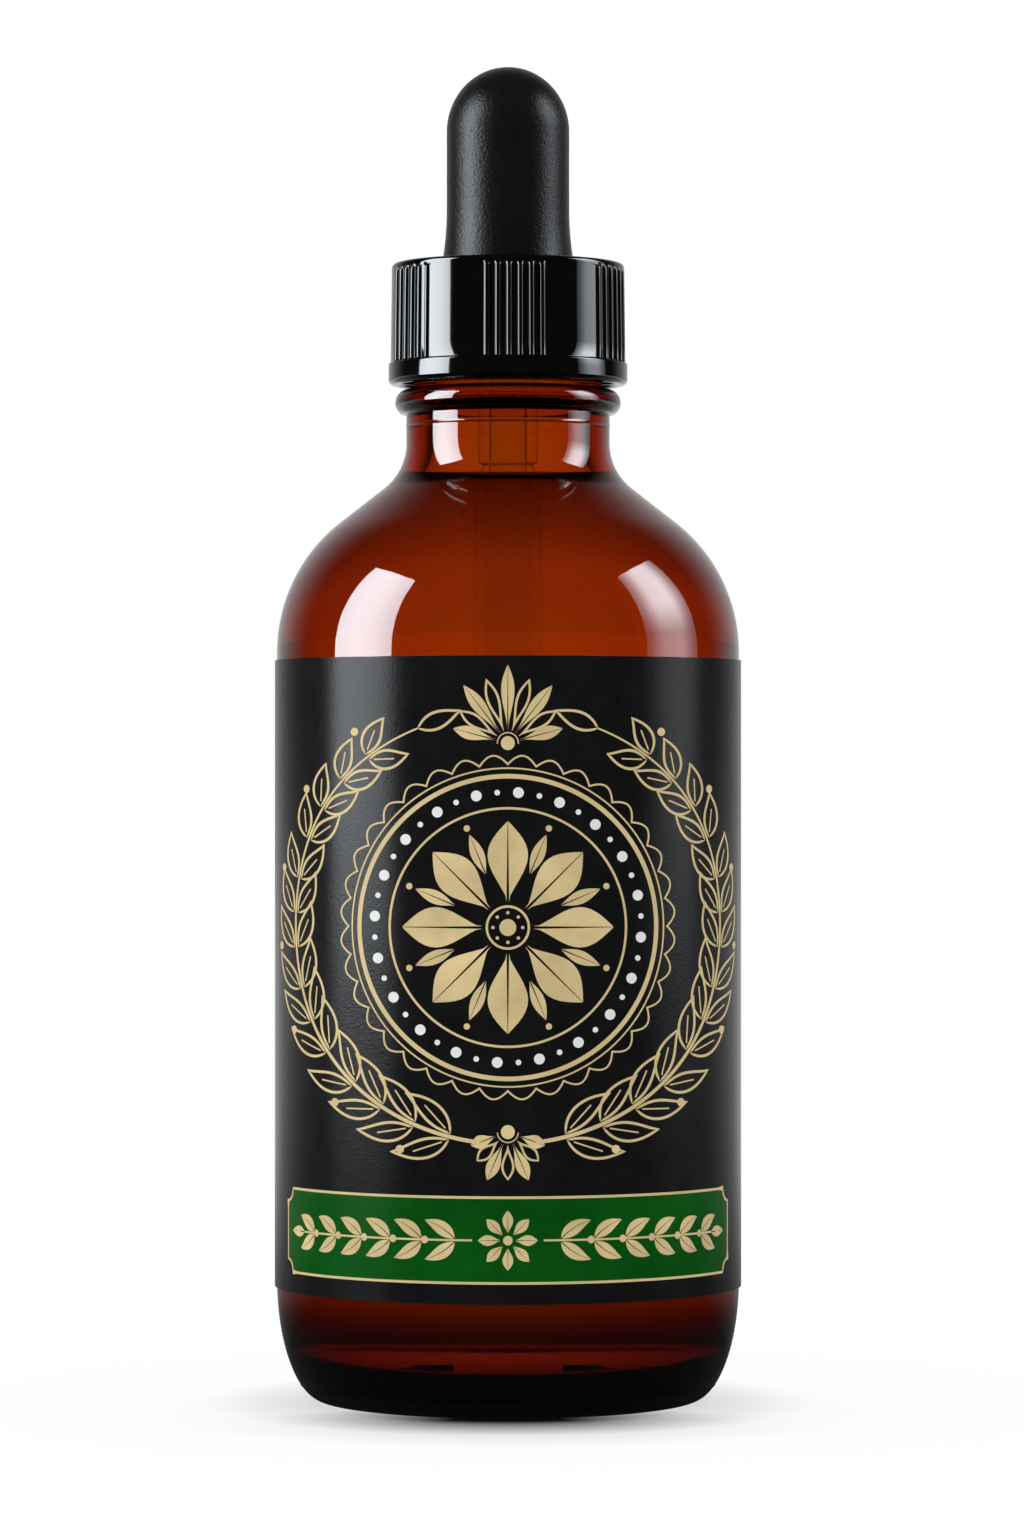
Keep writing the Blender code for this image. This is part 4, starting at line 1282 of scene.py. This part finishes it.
def make_camera(stage):
    """Camera at the photograph's eye, aimed by the pixel of the axis and of the horizon."""
    data = bpy.data.cameras.new("camera")
    camera = bpy.data.objects.new("camera", data)
    bpy.context.scene.collection.objects.link(camera)
    data.sensor_width = 36.0
    data.lens = stage.focal_pixels / EYE_IMAGE_HEIGHT * data.sensor_width
    data.clip_start = 0.01
    data.clip_end = 50.0
    pixel = stage.eye_distance / stage.focal_pixels
    camera.location.x = (EYE_IMAGE_WIDTH / 2.0 - stage.axis_pixel) * pixel
    camera.location.y = -stage.eye_distance
    camera.location.z = stage.eye_height
    pitch = math.atan((stage.horizon_pixel - EYE_IMAGE_HEIGHT / 2.0) / stage.focal_pixels)
    camera.rotation_euler = (QUARTER_TURN + pitch, 0.0, 0.0)
    bpy.context.scene.camera = camera


def make_stage(stage):
    bpy.context.scene.view_settings.view_transform = "Standard"
    make_camera(stage)
    make_floor()
    make_world(stage)
    share_of_light = stage.diffuse_share
    make_softbox("left_softbox", math.radians(-76.0), stage.left_strength, 0.8, 1.0, share_of_light)
    make_softbox("right_softbox", math.radians(89.0), stage.right_strength, 0.2, 0.34, share_of_light)


# Operators, panel and registration

class BOTTLE_OT_glass(bpy.types.Operator):
    """Build the amber glass bottle with its threaded neck"""
    bl_idname = "bottle.glass"
    bl_label = "Glass Bottle"
    bl_options = {"REGISTER", "UNDO"}

    def execute(self, context):
        make_glass(context.scene.bottle_glass)
        return {"FINISHED"}


class BOTTLE_OT_liquid(bpy.types.Operator):
    """Fill the bottle with bitters up to the set level"""
    bl_idname = "bottle.liquid"
    bl_label = "Bitters"
    bl_options = {"REGISTER", "UNDO"}

    def execute(self, context):
        scene = context.scene
        make_liquid(scene.bottle_liquid, scene.bottle_glass)
        return {"FINISHED"}


class BOTTLE_OT_label(bpy.types.Operator):
    """Wrap the paper label round the body and print its plaque and ornament"""
    bl_idname = "bottle.label"
    bl_label = "Printed Label"
    bl_options = {"REGISTER", "UNDO"}

    def execute(self, context):
        label = context.scene.bottle_label
        make_paper(label)
        make_plaque(label)
        make_print(label)
        return {"FINISHED"}


class BOTTLE_OT_cap(bpy.types.Operator):
    """Build the ribbed screw cap"""
    bl_idname = "bottle.cap"
    bl_label = "Screw Cap"
    bl_options = {"REGISTER", "UNDO"}

    def execute(self, context):
        make_cap(context.scene.bottle_cap, context.scene.bottle_glass)
        return {"FINISHED"}


class BOTTLE_OT_bulb(bpy.types.Operator):
    """Build the rubber bulb"""
    bl_idname = "bottle.bulb"
    bl_label = "Rubber Bulb"
    bl_options = {"REGISTER", "UNDO"}

    def execute(self, context):
        scene = context.scene
        make_bulb(scene.bottle_bulb, scene.bottle_cap, scene.bottle_pipette)
        return {"FINISHED"}


class BOTTLE_OT_pipette(bpy.types.Operator):
    """Build the clear glass pipette"""
    bl_idname = "bottle.pipette"
    bl_label = "Glass Pipette"
    bl_options = {"REGISTER", "UNDO"}

    def execute(self, context):
        make_pipette(context.scene.bottle_pipette, context.scene.bottle_liquid)
        return {"FINISHED"}


class BOTTLE_OT_stage(bpy.types.Operator):
    """Set up the camera, the pale floor, the backdrop and the two softboxes"""
    bl_idname = "bottle.stage"
    bl_label = "Studio"
    bl_options = {"REGISTER", "UNDO"}

    def execute(self, context):
        make_stage(context.scene.bottle_stage)
        return {"FINISHED"}


OPERATORS = (BOTTLE_OT_glass, BOTTLE_OT_liquid, BOTTLE_OT_label, BOTTLE_OT_cap, BOTTLE_OT_bulb,
             BOTTLE_OT_pipette, BOTTLE_OT_stage)


class BOTTLE_PT_panel(bpy.types.Panel):
    """Lists what the bottle is built from"""
    bl_idname = "BOTTLE_PT_panel"
    bl_label = "Bitters Bottle"
    bl_space_type = "VIEW_3D"
    bl_region_type = "UI"
    bl_category = "Bottle"

    def draw(self, context):
        for kind in OPERATORS:
            self.layout.operator(kind.bl_idname)


def register():
    for name, kind in SETTINGS.items():
        bpy.utils.register_class(kind)
        setattr(bpy.types.Scene, name, PointerProperty(type=kind))
    for kind in (*OPERATORS, BOTTLE_PT_panel):
        bpy.utils.register_class(kind)


def unregister():
    for kind in (BOTTLE_PT_panel, *reversed(OPERATORS)):
        bpy.utils.unregister_class(kind)
    for name, kind in SETTINGS.items():
        delattr(bpy.types.Scene, name)
        bpy.utils.unregister_class(kind)


def main():
    register()
    bpy.ops.bottle.stage()
    bpy.ops.bottle.glass()
    bpy.ops.bottle.liquid()
    bpy.ops.bottle.pipette()
    bpy.ops.bottle.label()
    bpy.ops.bottle.cap()
    bpy.ops.bottle.bulb()


if __name__ == "__main__":
    main()
